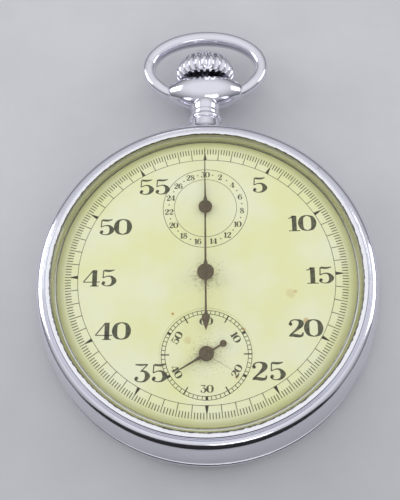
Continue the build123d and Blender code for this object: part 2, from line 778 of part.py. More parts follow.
def make_barrel():
    """The toothed barrel, its cover, the mainspring and the arbor with its ratchet wheel."""
    drum_gear = Gear(BARREL_TEETH, BARREL_MODULE, 6.45, 6.85, facing(BARREL, SECOND))
    drum_r = BARREL_MODULE * (BARREL_TEETH / 2 - 1.25)
    with BuildPart() as drum:
        with BuildSketch(Plane((*BARREL, DRUM_LOW))):
            Circle(drum_r)
        extrude(amount=DRUM_HIGH - DRUM_LOW)
        with BuildSketch(Plane.XY.offset(drum_gear.low)):
            with BuildLine():
                Polyline(*drum_gear.outline(BARREL), close=True)
            make_face()
        extrude(amount=drum_gear.high - drum_gear.low)
        with BuildSketch(Plane((*BARREL, DRUM_LOW))):
            Circle(drum_r - 0.35)
        extrude(amount=DRUM_HIGH - DRUM_LOW - 0.25, mode=Mode.SUBTRACT)
        with BuildSketch(Plane((*BARREL, DRUM_LOW))):
            Circle(ARBOR_R + PLAY)
        extrude(amount=DRUM_HIGH - DRUM_LOW, mode=Mode.SUBTRACT)
    save(drum.part, "barrel_drum")

    with BuildPart() as cover:
        with BuildSketch(Plane((*BARREL, DRUM_LOW))):
            Circle(drum_r - 0.38)
            Circle(ARBOR_R + PLAY, mode=Mode.SUBTRACT)
        extrude(amount=0.2)
    save(cover.part, "barrel_cover")

    make_coil("mainspring", BARREL, 5.65, 6.65, 1.75, 6.6, 10.0, 0.13)

    with BuildPart() as arbor:
        with BuildSketch(Plane((*BARREL, RATCHET_LOW))):
            Circle(ARBOR_R)
        extrude(amount=8.4 - RATCHET_LOW)
        with BuildSketch(Plane((*BARREL, 5.6))):
            Circle(1.5)
        extrude(amount=1.1)
        with BuildSketch(Plane((*BARREL, RATCHET_LOW))):
            Circle(0.36)
        extrude(amount=1.3, mode=Mode.SUBTRACT)
    save(arbor.part, "barrel_arbor")

    ratchet = Gear(RATCHET_TEETH, WINDING_MODULE, RATCHET_LOW, RATCHET_HIGH, facing(BARREL, CROWN_WHEEL))
    blank = (5.0, RATCHET_LOW, RATCHET_HIGH)
    make_arbor("ratchet_wheel", BARREL, blank, [ratchet], bore=ARBOR_R + 0.01)

    with BuildPart() as screw:
        with BuildSketch(Plane((*BARREL, RATCHET_LOW - 0.35))):
            Circle(1.3)
        extrude(amount=0.35)
        with BuildSketch(Plane((*BARREL, RATCHET_LOW))):
            Circle(0.34)
        extrude(amount=1.1)
        with BuildSketch(Plane((*BARREL, RATCHET_LOW - 0.35))):
            Rectangle(2.6, 0.22)
        extrude(amount=0.18, mode=Mode.SUBTRACT)
    save(screw.part, "ratchet_screw")


def make_winding_work():
    """The crown wheel on its shouldered screw, and the click that holds the ratchet wheel."""
    gap = facing(CROWN_WHEEL, BARREL) + 180.0 / CROWN_TEETH
    gear = Gear(CROWN_TEETH, WINDING_MODULE, RATCHET_LOW, RATCHET_HIGH, gap)
    make_arbor("crown_wheel", CROWN_WHEEL, (2.0, RATCHET_LOW, RATCHET_HIGH), [gear], bore=1.0)

    with BuildPart() as stud:
        with BuildSketch(Plane((*CROWN_WHEEL, RATCHET_LOW - 0.38))):
            Circle(1.6)
        extrude(amount=0.35)
        with BuildSketch(Plane((*CROWN_WHEEL, RATCHET_LOW - 0.03))):
            Circle(1.0 - PLAY)
        extrude(amount=BRIDGE_BOTTOM - RATCHET_LOW + 0.03)
        with BuildSketch(Plane((*CROWN_WHEEL, BRIDGE_BOTTOM))):
            Circle(0.57)
        extrude(amount=0.7)
        with BuildSketch(Plane((*CROWN_WHEEL, RATCHET_LOW - 0.38))):
            Rectangle(3.2, 0.25)
        extrude(amount=0.18, mode=Mode.SUBTRACT)
    save(stud.part, "crown_wheel_screw")

    tip_r = WINDING_MODULE * (RATCHET_TEETH / 2 + 0.8)
    beak = step(BARREL, -84.0, tip_r + 0.07)
    with BuildPart() as click:
        with BuildSketch(Plane.XY.offset(RATCHET_LOW)):
            with Locations(CLICK):
                Circle(0.8)
            with BuildLine():
                Polyline(step(CLICK, 100, 0.75), beak, step(CLICK, -20, 0.78), close=True)
            make_face()
            with Locations(CLICK):
                Circle(0.35 + PLAY, mode=Mode.SUBTRACT)
        extrude(amount=RATCHET_HIGH - RATCHET_LOW)
    save(click.part, "click")

    foot = step(CLICK, -60, 4.2)
    with BuildPart() as spring:
        with BuildSketch(Plane.XY.offset(RATCHET_LOW)):
            add(strip(foot, step(CLICK, -48, 1.25), 0.16))
            with Locations(foot):
                Circle(0.6)
        extrude(amount=BRIDGE_BOTTOM - RATCHET_LOW)
    save(spring.part, "click_spring")


def make_train():
    """The second, third, fourth and escape wheels with their pinions, cut on their arbors."""
    lower = BRIDGE_BOTTOM + 0.05
    upper = PLATE_BOTTOM + 0.55
    second = [
        Gear(SECOND_LEAVES, BARREL_MODULE, 6.3, 7.0, facing(SECOND, BARREL) + 180.0 / SECOND_LEAVES),
        Gear(SECOND_TEETH, SECOND_MODULE, 4.8, 5.0, facing(SECOND, THIRD), spokes=5),
    ]
    make_arbor("second_wheel", SECOND, (PIVOT_R, lower, upper), second, hubs=[(0.55, 4.45, 7.1)])
    third = [
        Gear(THIRD_LEAVES, SECOND_MODULE, 4.65, 5.15, facing(THIRD, SECOND) + 180.0 / THIRD_LEAVES),
        Gear(THIRD_TEETH, THIRD_MODULE, 6.1, 6.3, facing(THIRD, FOURTH), spokes=5),
    ]
    make_arbor("third_wheel", THIRD, (PIVOT_R, lower, upper), third, hubs=[(0.5, 4.45, 7.1)])
    fourth = [
        Gear(FOURTH_LEAVES, THIRD_MODULE, 5.95, 6.45, facing(FOURTH, THIRD) + 180.0 / FOURTH_LEAVES),
        Gear(FOURTH_TEETH, FOURTH_MODULE, 5.2, 5.4, facing(FOURTH, ESCAPE), spokes=5),
    ]
    post = (PIVOT_R, 2.45, SMALL_HAND_Z + HUB_T - 0.1)
    make_arbor("fourth_wheel", FOURTH, post, fourth, hubs=[(0.45, 4.45, 7.1)])
    leaves = Gear(
        ESCAPE_LEAVES, FOURTH_MODULE, 5.05, 5.55, facing(ESCAPE, FOURTH) + 180.0 / ESCAPE_LEAVES
    )
    make_arbor(
        "escape_pinion", ESCAPE, (0.2, lower, upper), [leaves], hubs=[(0.26, 4.45, 7.1), (0.6, 6.2, 6.4)]
    )

    outline = []
    pitch = 360.0 / ESCAPE_TEETH
    for tooth in range(ESCAPE_TEETH):
        angle = tooth * pitch
        outline.append(step(ESCAPE, angle, 2.05))
        outline.append(step(ESCAPE, angle + 7.0, 2.7))
        outline.append(step(ESCAPE, angle + 10.5, 2.62))
        outline.append(step(ESCAPE, angle + 8.0, 2.05))
    with BuildPart() as wheel:
        with BuildSketch(Plane.XY.offset(6.0)):
            with BuildLine():
                Polyline(*outline, close=True)
            make_face()
            with Locations(ESCAPE):
                Circle(1.75, mode=Mode.SUBTRACT)
            with Locations(ESCAPE):
                Circle(0.65)
                for turn in (0, 90):
                    Rectangle(3.8, 0.3, rotation=turn)
                Circle(0.27, mode=Mode.SUBTRACT)
        extrude(amount=0.19)
    save(wheel.part, "escape_wheel")


BALANCE_LOW = 4.35
BALANCE_T = 0.48


def make_escapement():
    """The pallet fork with its stones, the balance with its screws, the hairspring, the regulator."""
    line = facing(ESCAPE, PALLET)
    stones = [step(ESCAPE, line + side * 33.0, 3.05) for side in (-1, 1)]
    swing = facing(PALLET, BALANCE)
    fork_end = step(PALLET, swing, 3.0)
    with BuildPart() as fork:
        with BuildSketch(Plane.XY.offset(6.0)):
            for stone in stones:
                add(strip(PALLET, step(stone, facing(ESCAPE, stone), 0.32), 0.5))
            add(strip(PALLET, fork_end, 0.42))
            with Locations(fork_end):
                Circle(0.5)
            with Locations(step(fork_end, swing, 0.4)):
                Rectangle(0.8, 0.42, rotation=swing, mode=Mode.SUBTRACT)
            for side, stone in zip((-1, 1), stones):
                with Locations(stone):
                    Rectangle(0.94, 0.26, rotation=line + side * 33.0, mode=Mode.SUBTRACT)
        extrude(amount=0.25)
        with BuildSketch(Plane((*PALLET, PALLET_LOW + 0.05))):
            Circle(PIVOT_R)
        extrude(amount=PLATE_BOTTOM + 0.5 - PALLET_LOW)
    save(fork.part, "pallet_fork")

    with BuildPart() as stone_pair:
        for side, stone in zip((-1, 1), stones):
            with BuildSketch(Plane.XY.offset(6.0)):
                with Locations(step(stone, line + side * 33.0, 0.08)):
                    Rectangle(0.76, 0.24, rotation=line + side * 33.0)
            extrude(amount=0.3)
    save(stone_pair.part, "pallet_stones")

    rim_out = 6.7
    rim_in = 6.05
    with BuildPart() as balance:
        with BuildSketch(Plane((*BALANCE, BALANCE_LOW))):
            Circle(rim_out)
            Circle(rim_in, mode=Mode.SUBTRACT)
            Rectangle(2 * rim_in + 0.4, 0.8)
            Circle(1.0)
        extrude(amount=BALANCE_T)
        for radius, low, high in ((PIVOT_R, COCK_LOW + 0.05, PLATE_BOTTOM + 0.55), (0.45, 4.0, 6.5)):
            with BuildSketch(Plane((*BALANCE, low))):
                Circle(radius)
            extrude(amount=high - low)
        with BuildSketch(Plane((*BALANCE, 5.75))):
            Circle(0.8)
        extrude(amount=0.2)
    save(balance.part, "balance_wheel")

    screws = 14
    with BuildPart() as rim_screws:
        for index in range(screws):
            angle = (index + 0.5) * 360.0 / screws
            seat = (*step(BALANCE, angle, rim_out + 0.01), BALANCE_LOW + BALANCE_T / 2)
            place = Plane(seat, z_dir=(cos(radians(angle)), sin(radians(angle)), 0))
            with BuildSketch(place):
                Circle(0.2)
            extrude(amount=0.35)
    save(rim_screws.part, "balance_screws")

    make_coil("hairspring", BALANCE, 4.02, 4.3, 0.62, 2.4, 8.0, 0.05)

    with BuildPart() as regulator:
        with BuildSketch(Plane((*BALANCE, COCK_LOW - 0.25))):
            Circle(1.15)
            with Locations((-1.6, -1.4)):
                Rectangle(3.6, 0.5, rotation=41)
            Circle(JEWEL_R, mode=Mode.SUBTRACT)
        extrude(amount=0.22)
    save(regulator.part, "regulator")


# ---- chronograph work ----

HEART_LOW = 2.97
HEART_HIGH = 3.3
LEVER_LOW = 2.95
LEVER_HIGH = 3.25
HAMMER_PIVOT = (4.9, 8.4)
BRAKE_PIVOT = (7.3, 2.5)
COLUMN_TEETH = 12


def make_heart(name, centre, tall):
    """A heart cam: two spirals that meet in a point and a notch, clamped on its arbor."""
    points = []
    steps = 12
    for index in range(-steps, steps + 1):
        share = abs(index) / steps
        points.append(step(centre, 90.0 + 180.0 * index / steps, 0.42 + 0.4 * (1 - share)))
    with BuildPart() as heart:
        with BuildSketch(Plane.XY.offset(HEART_LOW)):
            with BuildLine():
                Polyline(*points[:-1], close=True)
            make_face()
            with Locations(centre):
                Circle(PIVOT_R + 0.01, mode=Mode.SUBTRACT)
        extrude(amount=tall)
    save(heart.part, name)


def make_counting_train():
    """The driving, coupling and chronograph wheels, and the wheels of the minute counter."""
    north = facing(FOURTH, CENTRE)
    driving = Gear(CHRONO_TEETH, CHRONO_MODULE, 2.6, 2.75, north, spokes=4)
    make_arbor("driving_wheel", FOURTH, (0.7, 2.55, 2.95), [driving], bore=PIVOT_R + 0.01)
    coupling = Gear(COUPLING_TEETH, CHRONO_MODULE, 2.6, 2.85, north + 180.0 + 180.0 / COUPLING_TEETH)
    make_arbor("coupling_wheel", COUPLING, (0.5, 2.55, 2.9), [coupling], bore=0.3)
    chrono = Gear(CHRONO_TEETH, CHRONO_MODULE, 2.7, 2.85, north + 180.0, spokes=5)
    toward = facing(CENTRE, INTERMEDIATE)
    pinion = Gear(CHRONO_LEAVES, INTERMEDIATE_MODULE, 2.2, 2.55, toward)
    shaft = (PIVOT_R, CHRONO_LOW + 0.05, SWEEP_Z + HUB_T - 0.1)
    make_arbor("chronograph_wheel", CENTRE, shaft, [chrono, pinion], hubs=[(0.7, 2.56, 2.95)])

    back = facing(INTERMEDIATE, CENTRE) + 180.0 / INTERMEDIATE_TEETH
    onward = facing(INTERMEDIATE, MINUTE)
    gears = [
        Gear(INTERMEDIATE_TEETH, INTERMEDIATE_MODULE, 2.3, 2.45, back, spokes=5),
        Gear(INTERMEDIATE_LEAVES, MINUTE_MODULE, 1.87, 2.2, onward),
    ]
    shaft = (PIVOT_R, CHRONO_LOW + 0.05, BRIDGE_TOP - 0.05)
    make_arbor("intermediate_wheel", INTERMEDIATE, shaft, gears, hubs=[(0.4, 1.85, 3.4)])
    inward = facing(MINUTE, INTERMEDIATE) + 180.0 / MINUTE_TEETH
    minute = Gear(MINUTE_TEETH, MINUTE_MODULE, 1.97, 2.12, inward, spokes=5)
    shaft = (PIVOT_R, CHRONO_LOW + 0.05, SMALL_HAND_Z + HUB_T - 0.1)
    make_arbor("minute_wheel", MINUTE, shaft, [minute], hubs=[(0.6, 1.9, 2.9)])
    make_heart("seconds_heart", CENTRE, HEART_HIGH - HEART_LOW)
    make_heart("minute_heart", MINUTE, HEART_HIGH - HEART_LOW)


def make_lever(low, high, bars, pivot, pivot_r, head_r):
    """A flat steel lever of joined bars, with a round eye at its pivot."""
    with BuildPart() as lever:
        with BuildSketch(Plane.XY.offset(low)):
            for a, b, width in bars:
                add(strip(a, b, width))
            with Locations(pivot):
                Circle(head_r)
            with Locations(pivot):
                Circle(pivot_r + PLAY, mode=Mode.SUBTRACT)
        extrude(amount=high - low)
    return lever.part


def make_studs():
    """The headed studs that the click, the levers and the column wheel turn on."""
    with BuildPart() as studs:
        for centre, radius, low, high in LEVER_STUDS:
            with BuildSketch(Plane((*centre, low))):
                Circle(radius)
            extrude(amount=high - low)
            with BuildSketch(Plane((*centre, low))):
                Circle(radius + 0.3)
            extrude(amount=-0.25)
    save(studs.part, "lever_studs")


OPERATING_PIVOT = (7.4, 13.2)
OPERATING_LOW = 4.6
OPERATING_HIGH = 5.4
LEVER_STUDS = [
    (CLICK, 0.35, RATCHET_LOW - 0.05, BRIDGE_TOP),
    (HAMMER_PIVOT, 0.45, LEVER_LOW - 0.05, BRIDGE_BOTTOM),
    (BRAKE_PIVOT, 0.45, 2.55, BRIDGE_BOTTOM),
    (OPERATING_PIVOT, 0.45, OPERATING_LOW - 0.05, PLATE_BOTTOM),
    (COLUMN, 0.45, 2.3, PLATE_BOTTOM),
]


def make_levers():
    """The operating lever, the coupling lever, the hammer, the brake and the column wheel."""
    operating_bars = [
        ((0.15, 14.0), (2.4, 13.4), 1.2),
        ((2.4, 13.4), OPERATING_PIVOT, 1.2),
        (OPERATING_PIVOT, (10.2, 10.6), 1.1),
    ]
    operating = make_lever(
        OPERATING_LOW, OPERATING_HIGH, operating_bars, OPERATING_PIVOT, 0.45, 1.1
    )
    save(operating, "operating_lever")

    elbow = step(FOURTH, 62.0, 5.9)
    coupling_bars = [
        (FOURTH, COUPLING, 1.5),
        (FOURTH, elbow, 1.2),
        (elbow, (6.9, -4.6), 1.0),
    ]
    with BuildPart() as coupling:
        add(make_lever(2.0, 2.3, coupling_bars, FOURTH, 0.45, 1.1))
        with BuildSketch(Plane((*COUPLING, 2.3))):
            Circle(0.25)
        extrude(amount=0.6)
    save(coupling.part, "coupling_lever")

    hammer_bars = [
        (HAMMER_PIVOT, (2.5, 10.1), 0.9),
        ((2.5, 10.1), (1.5, 10.5), 0.7),
        (HAMMER_PIVOT, (3.6, 3.2), 0.9),
        ((3.6, 3.2), (1.5, 0.9), 0.7),
    ]
    hammer = make_lever(LEVER_LOW, LEVER_HIGH, hammer_bars, HAMMER_PIVOT, 0.45, 1.0)
    save(hammer, "reset_hammer")

    brake_bars = [(BRAKE_PIVOT, (5.5, 0.9), 0.8), ((5.5, 0.9), (4.87, -0.2), 0.7)]
    brake = make_lever(2.6, 2.9, brake_bars, BRAKE_PIVOT, 0.45, 0.8)
    save(brake, "brake_lever")

    with BuildPart() as column:
        with BuildSketch(Plane((*COLUMN, 4.6))):
            Circle(1.75)
            with PolarLocations(1.9, COLUMN_TEETH):
                RegularPolygon(0.42, 3)
        extrude(amount=0.6)
        with BuildSketch(Plane((*COLUMN, 2.5))):
            with PolarLocations(1.35, COLUMN_TEETH // 2):
                Rectangle(0.8, 0.62)
        extrude(amount=2.1)
        with BuildSketch(Plane((*COLUMN, 4.2))):
            Circle(1.6)
        extrude(amount=0.4)
        with BuildSketch(Plane((*COLUMN, 4.2))):
            Circle(0.45 + PLAY)
        extrude(amount=1.0, mode=Mode.SUBTRACT)
    save(column.part, "column_wheel")

    jumper_foot = (16.4, 9.6)
    with BuildPart() as jumper:
        with BuildSketch(Plane.XY.offset(4.7)):
            add(strip(jumper_foot, (13.9, 9.3), 0.3))
            with Locations(jumper_foot):
                Circle(0.9)
        extrude(amount=0.4)
        with BuildSketch(Plane((*jumper_foot, 4.7))):
            Circle(0.8)
        extrude(amount=PLATE_BOTTOM - 4.7)
    save(jumper.part, "column_jumper")


make_case_middle()
make_bezel()
make_crystal()
make_back_cover()
make_pendant()
make_bow()
make_crown()
make_dial()
make_hands()
make_mainplate()
make_bridges()
make_all_screws()
make_jewels()
make_barrel()
make_winding_work()
make_train()
make_escapement()
make_counting_train()
make_levers()
make_studs()
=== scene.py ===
import json
import logging
from dataclasses import dataclass, field
from enum import Enum
from functools import partial
from math import acos, atan2, copysign, cos, hypot, pi, radians, sin
from typing import Callable, Iterable, Sequence

import bmesh
import bpy
from mathutils import Matrix, Vector, noise


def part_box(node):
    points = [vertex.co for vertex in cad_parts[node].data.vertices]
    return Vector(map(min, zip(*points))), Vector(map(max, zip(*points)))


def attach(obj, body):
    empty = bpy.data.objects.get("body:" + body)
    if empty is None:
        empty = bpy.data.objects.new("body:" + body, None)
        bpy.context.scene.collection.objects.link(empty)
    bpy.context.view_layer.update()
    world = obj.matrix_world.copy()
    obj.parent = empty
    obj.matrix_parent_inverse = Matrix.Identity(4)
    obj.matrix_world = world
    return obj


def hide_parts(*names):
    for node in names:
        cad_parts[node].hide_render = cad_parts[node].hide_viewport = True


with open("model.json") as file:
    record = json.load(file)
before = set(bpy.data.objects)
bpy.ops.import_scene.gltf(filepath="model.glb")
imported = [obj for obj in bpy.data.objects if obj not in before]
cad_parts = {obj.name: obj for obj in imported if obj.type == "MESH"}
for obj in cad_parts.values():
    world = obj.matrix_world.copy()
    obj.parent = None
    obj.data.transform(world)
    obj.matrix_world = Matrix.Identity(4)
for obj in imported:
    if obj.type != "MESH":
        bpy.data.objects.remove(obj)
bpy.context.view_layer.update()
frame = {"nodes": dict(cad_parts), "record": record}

MM = 0.001
LOG = logging.getLogger("stopwatch")

Point = tuple[float, float]
Colour = tuple[float, float, float]


class Body(Enum):
    """The moving groups of the watch that the visible pieces ride on."""

    CASE = "case"
    BEZEL = "bezel"
    BACK = "back"
    BOW = "bow"
    CROWN = "crown"
    SWEEP = "chronograph"
    MINUTE = "minute"
    SECONDS = "fourth_wheel"


class Slot(Enum):
    """Material slots of the record."""

    CASE = "case_metal"
    GLASS = "crystal_glass"
    DIAL = "dial_paint"
    HAND = "hand_steel"


# ---- geometry helpers ----


def around(centre: Point, angle: float, length: float) -> Point:
    """Find a point by its angle and distance.

    Args:
        centre: Where the angle is measured from.
        angle: Degrees, counter-clockwise from +X.
        length: Distance from the centre.

    Returns:
        The point.
    """
    turn = radians(angle)
    return (centre[0] + length * cos(turn), centre[1] + length * sin(turn))


def clock(centre: Point, second: float, radius: float) -> Point:
    """Find the point of a 60-second circle that starts at the top and runs clockwise."""
    return around(centre, 90.0 - 6.0 * second, radius)


def arc(start: Point, through: Point, end: Point, count: int = 12) -> list[Point]:
    """Sample a circular arc through three points.

    Args:
        start: First point.
        through: A point between.
        end: Last point.
        count: Number of chords.

    Returns:
        The points after start, up to end.
    """
    ax, ay = start
    bx, by = through
    cx, cy = end
    cross = 2.0 * (ax * (by - cy) + bx * (cy - ay) + cx * (ay - by))
    squares = [x * x + y * y for x, y in (start, through, end)]
    ox = (squares[0] * (by - cy) + squares[1] * (cy - ay) + squares[2] * (ay - by)) / cross
    oy = (squares[0] * (cx - bx) + squares[1] * (ax - cx) + squares[2] * (bx - ax)) / cross
    radius = hypot(ax - ox, ay - oy)
    first = atan2(ay - oy, ax - ox)
    middle = (atan2(by - oy, bx - ox) - first) % (2 * pi)
    last = (atan2(cy - oy, cx - ox) - first) % (2 * pi)
    sweep = last if middle <= last else last - 2 * pi
    turns = [first + sweep * index / count for index in range(1, count + 1)]
    return [(ox + radius * cos(turn), oy + radius * sin(turn)) for turn in turns]


def smooth_path(points: Sequence[tuple[float, ...]], steps: int = 7) -> list[tuple[float, ...]]:
    """Draw a Catmull-Rom curve through points of any dimension.

    Args:
        points: Points that the curve passes.
        steps: Samples between two points.

    Returns:
        The samples, ends included.
    """
    padded = [points[0], *points, points[-1]]
    samples: list[tuple[float, ...]] = []
    for index in range(1, len(padded) - 2):
        a, b, c, d = padded[index - 1 : index + 3]
        for step in range(steps):
            t = step / steps
            samples.append(
                tuple(
                    0.5
                    * (
                        2 * q
                        + (r - p) * t
                        + (2 * p - 5 * q + 4 * r - s) * t * t
                        + (3 * q - p - 3 * r + s) * t * t * t
                    )
                    for p, q, r, s in zip(a, b, c, d)
                )
            )
    samples.append(tuple(points[-1]))
    return samples


def new_piece(name: str, bm: bmesh.types.BMesh, sharp: float = 35.0) -> bpy.types.Object:
    """Turn a mesh in millimetres into a smooth-shaded object in metres.

    Args:
        name: Name of the piece.
        bm: The mesh, freed afterwards.
        sharp: Edges that turn by more degrees than this stay crisp.

    Returns:
        The new object.
    """
    bmesh.ops.remove_doubles(bm, verts=bm.verts, dist=1e-5)
    bmesh.ops.recalc_face_normals(bm, faces=bm.faces)
    bmesh.ops.scale(bm, vec=(MM, MM, MM), verts=bm.verts)
    mesh = bpy.data.meshes.new(name)
    bm.to_mesh(mesh)
    bm.free()
    for polygon in mesh.polygons:
        polygon.use_smooth = True
    mesh.set_sharp_from_angle(angle=radians(sharp))
    piece = bpy.data.objects.new(name, mesh)
    bpy.context.scene.collection.objects.link(piece)
    return piece


def soften(piece: bpy.types.Object, width: float, segments: int = 2) -> None:
    """Round the crisp edges of a piece.

    Args:
        piece: The piece.
        width: Width of the rounding in millimetres.
        segments: Facets across the rounding.
    """
    bevel = piece.modifiers.new("worn_edges", "BEVEL")
    bevel.width = width * MM
    bevel.segments = segments
    bevel.limit_method = "ANGLE"
    bevel.angle_limit = radians(32.0)
    bevel.harden_normals = True


def skin(
    bm: bmesh.types.BMesh, rings: Sequence[Sequence[Vector]], closed: bool, capped: bool = False
) -> None:
    """Join rings of equal length with four-sided faces.

    Args:
        bm: Mesh to add to.
        rings: Rings of points, each a closed loop.
        closed: Whether the last ring joins the first.
        capped: Whether the two end rings are filled.
    """
    rows = [[bm.verts.new(point) for point in ring] for ring in rings]
    pairs = list(zip(rows, rows[1:]))
    if closed:
        pairs.append((rows[-1], rows[0]))
    for low, high in pairs:
        for index in range(len(low)):
            following = (index + 1) % len(low)
            bm.faces.new((low[index], low[following], high[following], high[index]))
    if capped:
        bm.faces.new(rows[0][::-1])
        bm.faces.new(rows[-1])


def turned(
    name: str,
    profile: Sequence[Point],
    place: Matrix | None = None,
    segments: int = 220,
    shape: Callable[[float, Point], float] | None = None,
) -> bpy.types.Object:
    """Turn a closed outline about an axis, as on a lathe.

    Args:
        name: Name of the piece.
        profile: Closed outline as (radius, height) in millimetres.
        place: Where the axis stands; the piece turns about local Z.
        segments: Facets round the axis.
        shape: Gives the radius at an angle for an outline point, for fluted work.

    Returns:
        The new object.
    """
    bm = bmesh.new()
    rings = []
    for index in range(segments):
        turn = 2 * pi * index / segments
        ring = []
        for point in profile:
            radius = shape(turn, point) if shape else point[0]
            ring.append(Vector((radius * cos(turn), radius * sin(turn), point[1])))
        rings.append(ring)
    skin(bm, rings, closed=True)
    bmesh.ops.remove_doubles(bm, verts=bm.verts, dist=1e-5)
    bmesh.ops.dissolve_degenerate(bm, edges=bm.edges, dist=1e-6)
    if place is not None:
        bmesh.ops.transform(bm, matrix=place, verts=bm.verts)
    return new_piece(name, bm)


def carve(piece: bpy.types.Object, *cutters: bpy.types.Object) -> None:
    """Cut shapes out of a piece, keep the result in its mesh and drop the cutters.

    Args:
        piece: The piece.
        cutters: Closed shapes to take away.
    """
    for cutter in cutters:
        knife = piece.modifiers.new(cutter.name, "BOOLEAN")
        knife.operation = "DIFFERENCE"
        knife.object = cutter
    graph = bpy.context.evaluated_depsgraph_get()
    mesh = bpy.data.meshes.new_from_object(piece.evaluated_get(graph))
    piece.modifiers.clear()
    piece.data = mesh
    for cutter in cutters:
        bpy.data.objects.remove(cutter)
    mesh.set_sharp_from_angle(angle=radians(35.0))


# ---- shader helpers ----


class Sheet:
    """One procedural material and short calls that lay down its nodes."""

    def __init__(self, name: str) -> None:
        """Start an empty material with a principled shader.

        Args:
            name: Name of the material.
        """
        self.material = bpy.data.materials.new(name)
        self.material.use_nodes = True
        self.tree = self.material.node_tree
        self.shader = self.tree.nodes["Principled BSDF"]
        self.output = self.tree.nodes["Material Output"]
        coordinates = self.tree.nodes.new("ShaderNodeTexCoord")
        self.place = self.tree.nodes.new("ShaderNodeMapping")
        self.place.inputs["Scale"].default_value = (1 / MM,) * 3
        self.tree.links.new(coordinates.outputs["Object"], self.place.inputs["Vector"])

    @property
    def millimetres(self) -> bpy.types.NodeSocket:
        """The place on the object, in millimetres."""
        return self.place.outputs["Vector"]

    def link(self, source: bpy.types.NodeSocket, target: bpy.types.NodeSocket) -> None:
        """Join two sockets."""
        self.tree.links.new(source, target)

    def set(self, **values: object) -> None:
        """Set constants on the principled shader, names with underscores for spaces."""
        for name, value in values.items():
            self.shader.inputs[name.replace("_", " ")].default_value = value

    def stretch(self, scale: tuple[float, float, float]) -> bpy.types.NodeSocket:
        """Scale the place unevenly, for grain and scratches that run one way."""
        node = self.tree.nodes.new("ShaderNodeMapping")
        node.inputs["Scale"].default_value = scale
        self.link(self.millimetres, node.inputs["Vector"])
        return node.outputs["Vector"]

    def noise(
        self, scale: float, detail: float = 4.0, rough: float = 0.6, place: bpy.types.NodeSocket | None = None
    ) -> bpy.types.NodeSocket:
        """Cloudy noise.

        Args:
            scale: Waves for each millimetre.
            detail: Octaves.
            rough: Strength of the fine octaves.
            place: Coordinates to use in place of the object's own.

        Returns:
            The noise value.
        """
        node = self.tree.nodes.new("ShaderNodeTexNoise")
        node.inputs["Scale"].default_value = scale
        node.inputs["Detail"].default_value = detail
        node.inputs["Roughness"].default_value = rough
        self.link(place or self.millimetres, node.inputs["Vector"])
        return node.outputs["Fac"]

    def cells(self, scale: float, place: bpy.types.NodeSocket | None = None) -> bpy.types.NodeSocket:
        """Distance to the nearest of many scattered points."""
        node = self.tree.nodes.new("ShaderNodeTexVoronoi")
        node.inputs["Scale"].default_value = scale
        self.link(place or self.millimetres, node.inputs["Vector"])
        return node.outputs["Distance"]

    def ramp(self, value: bpy.types.NodeSocket, *stops: tuple[float, object]) -> bpy.types.NodeSocket:
        """Map a value through grey or coloured stops.

        Args:
            value: The input.
            stops: (position, grey or colour) in rising order.

        Returns:
            The colour.
        """
        node = self.tree.nodes.new("ShaderNodeValToRGB")
        elements = node.color_ramp.elements
        while len(elements) < len(stops):
            elements.new(0.5)
        for element, (position, shade) in zip(elements, stops):
            colour = shade if isinstance(shade, tuple) else (shade,) * 3
            element.position = position
            element.color = (*colour, 1.0)
        self.link(value, node.inputs["Fac"])
        return node.outputs["Color"]

    def math(self, kind: str, a: object, b: object) -> bpy.types.NodeSocket:
        """Combine two values, each a socket or a number."""
        node = self.tree.nodes.new("ShaderNodeMath")
        node.operation = kind
        for socket, value in zip(node.inputs, (a, b)):
            if isinstance(value, (int, float)):
                socket.default_value = value
            else:
                self.link(value, socket)
        return node.outputs["Value"]

    def blend(self, share: object, a: object, b: object, kind: str = "MIX") -> bpy.types.NodeSocket:
        """Mix two colours by a share, each a socket or a constant."""
        node = self.tree.nodes.new("ShaderNodeMix")
        node.data_type = "RGBA"
        node.blend_type = kind
        for socket, value in zip((node.inputs[0], node.inputs[6], node.inputs[7]), (share, a, b)):
            if isinstance(value, bpy.types.NodeSocket):
                self.link(value, socket)
            else:
                socket.default_value = (*value, 1.0) if isinstance(value, tuple) else value
        return node.outputs[2]

    def distance(self, point: Point) -> bpy.types.NodeSocket:
        """Distance in millimetres from an upright line through a point of the dial."""
        flat = self.tree.nodes.new("ShaderNodeVectorMath")
        flat.operation = "MULTIPLY"
        flat.inputs[1].default_value = (1.0, 1.0, 0.0)
        self.link(self.millimetres, flat.inputs[0])
        node = self.tree.nodes.new("ShaderNodeVectorMath")
        node.operation = "DISTANCE"
        node.inputs[1].default_value = (*point, 0.0)
        self.link(flat.outputs["Vector"], node.inputs[0])
        return node.outputs["Value"]

    def bump(self, height: bpy.types.NodeSocket, strength: float, depth: float = 0.02) -> None:
        """Raise the surface by a height value.

        Args:
            height: Value from 0 to 1.
            strength: Share of the effect.
            depth: Height of the relief in millimetres.
        """
        node = self.tree.nodes.new("ShaderNodeBump")
        node.inputs["Strength"].default_value = strength
        node.inputs["Distance"].default_value = depth * MM
        self.link(height, node.inputs["Height"])
        previous = self.shader.inputs["Normal"].links
        if previous:
            self.link(previous[0].from_socket, node.inputs["Normal"])
        self.link(node.outputs["Normal"], self.shader.inputs["Normal"])


# ---- finishes ----


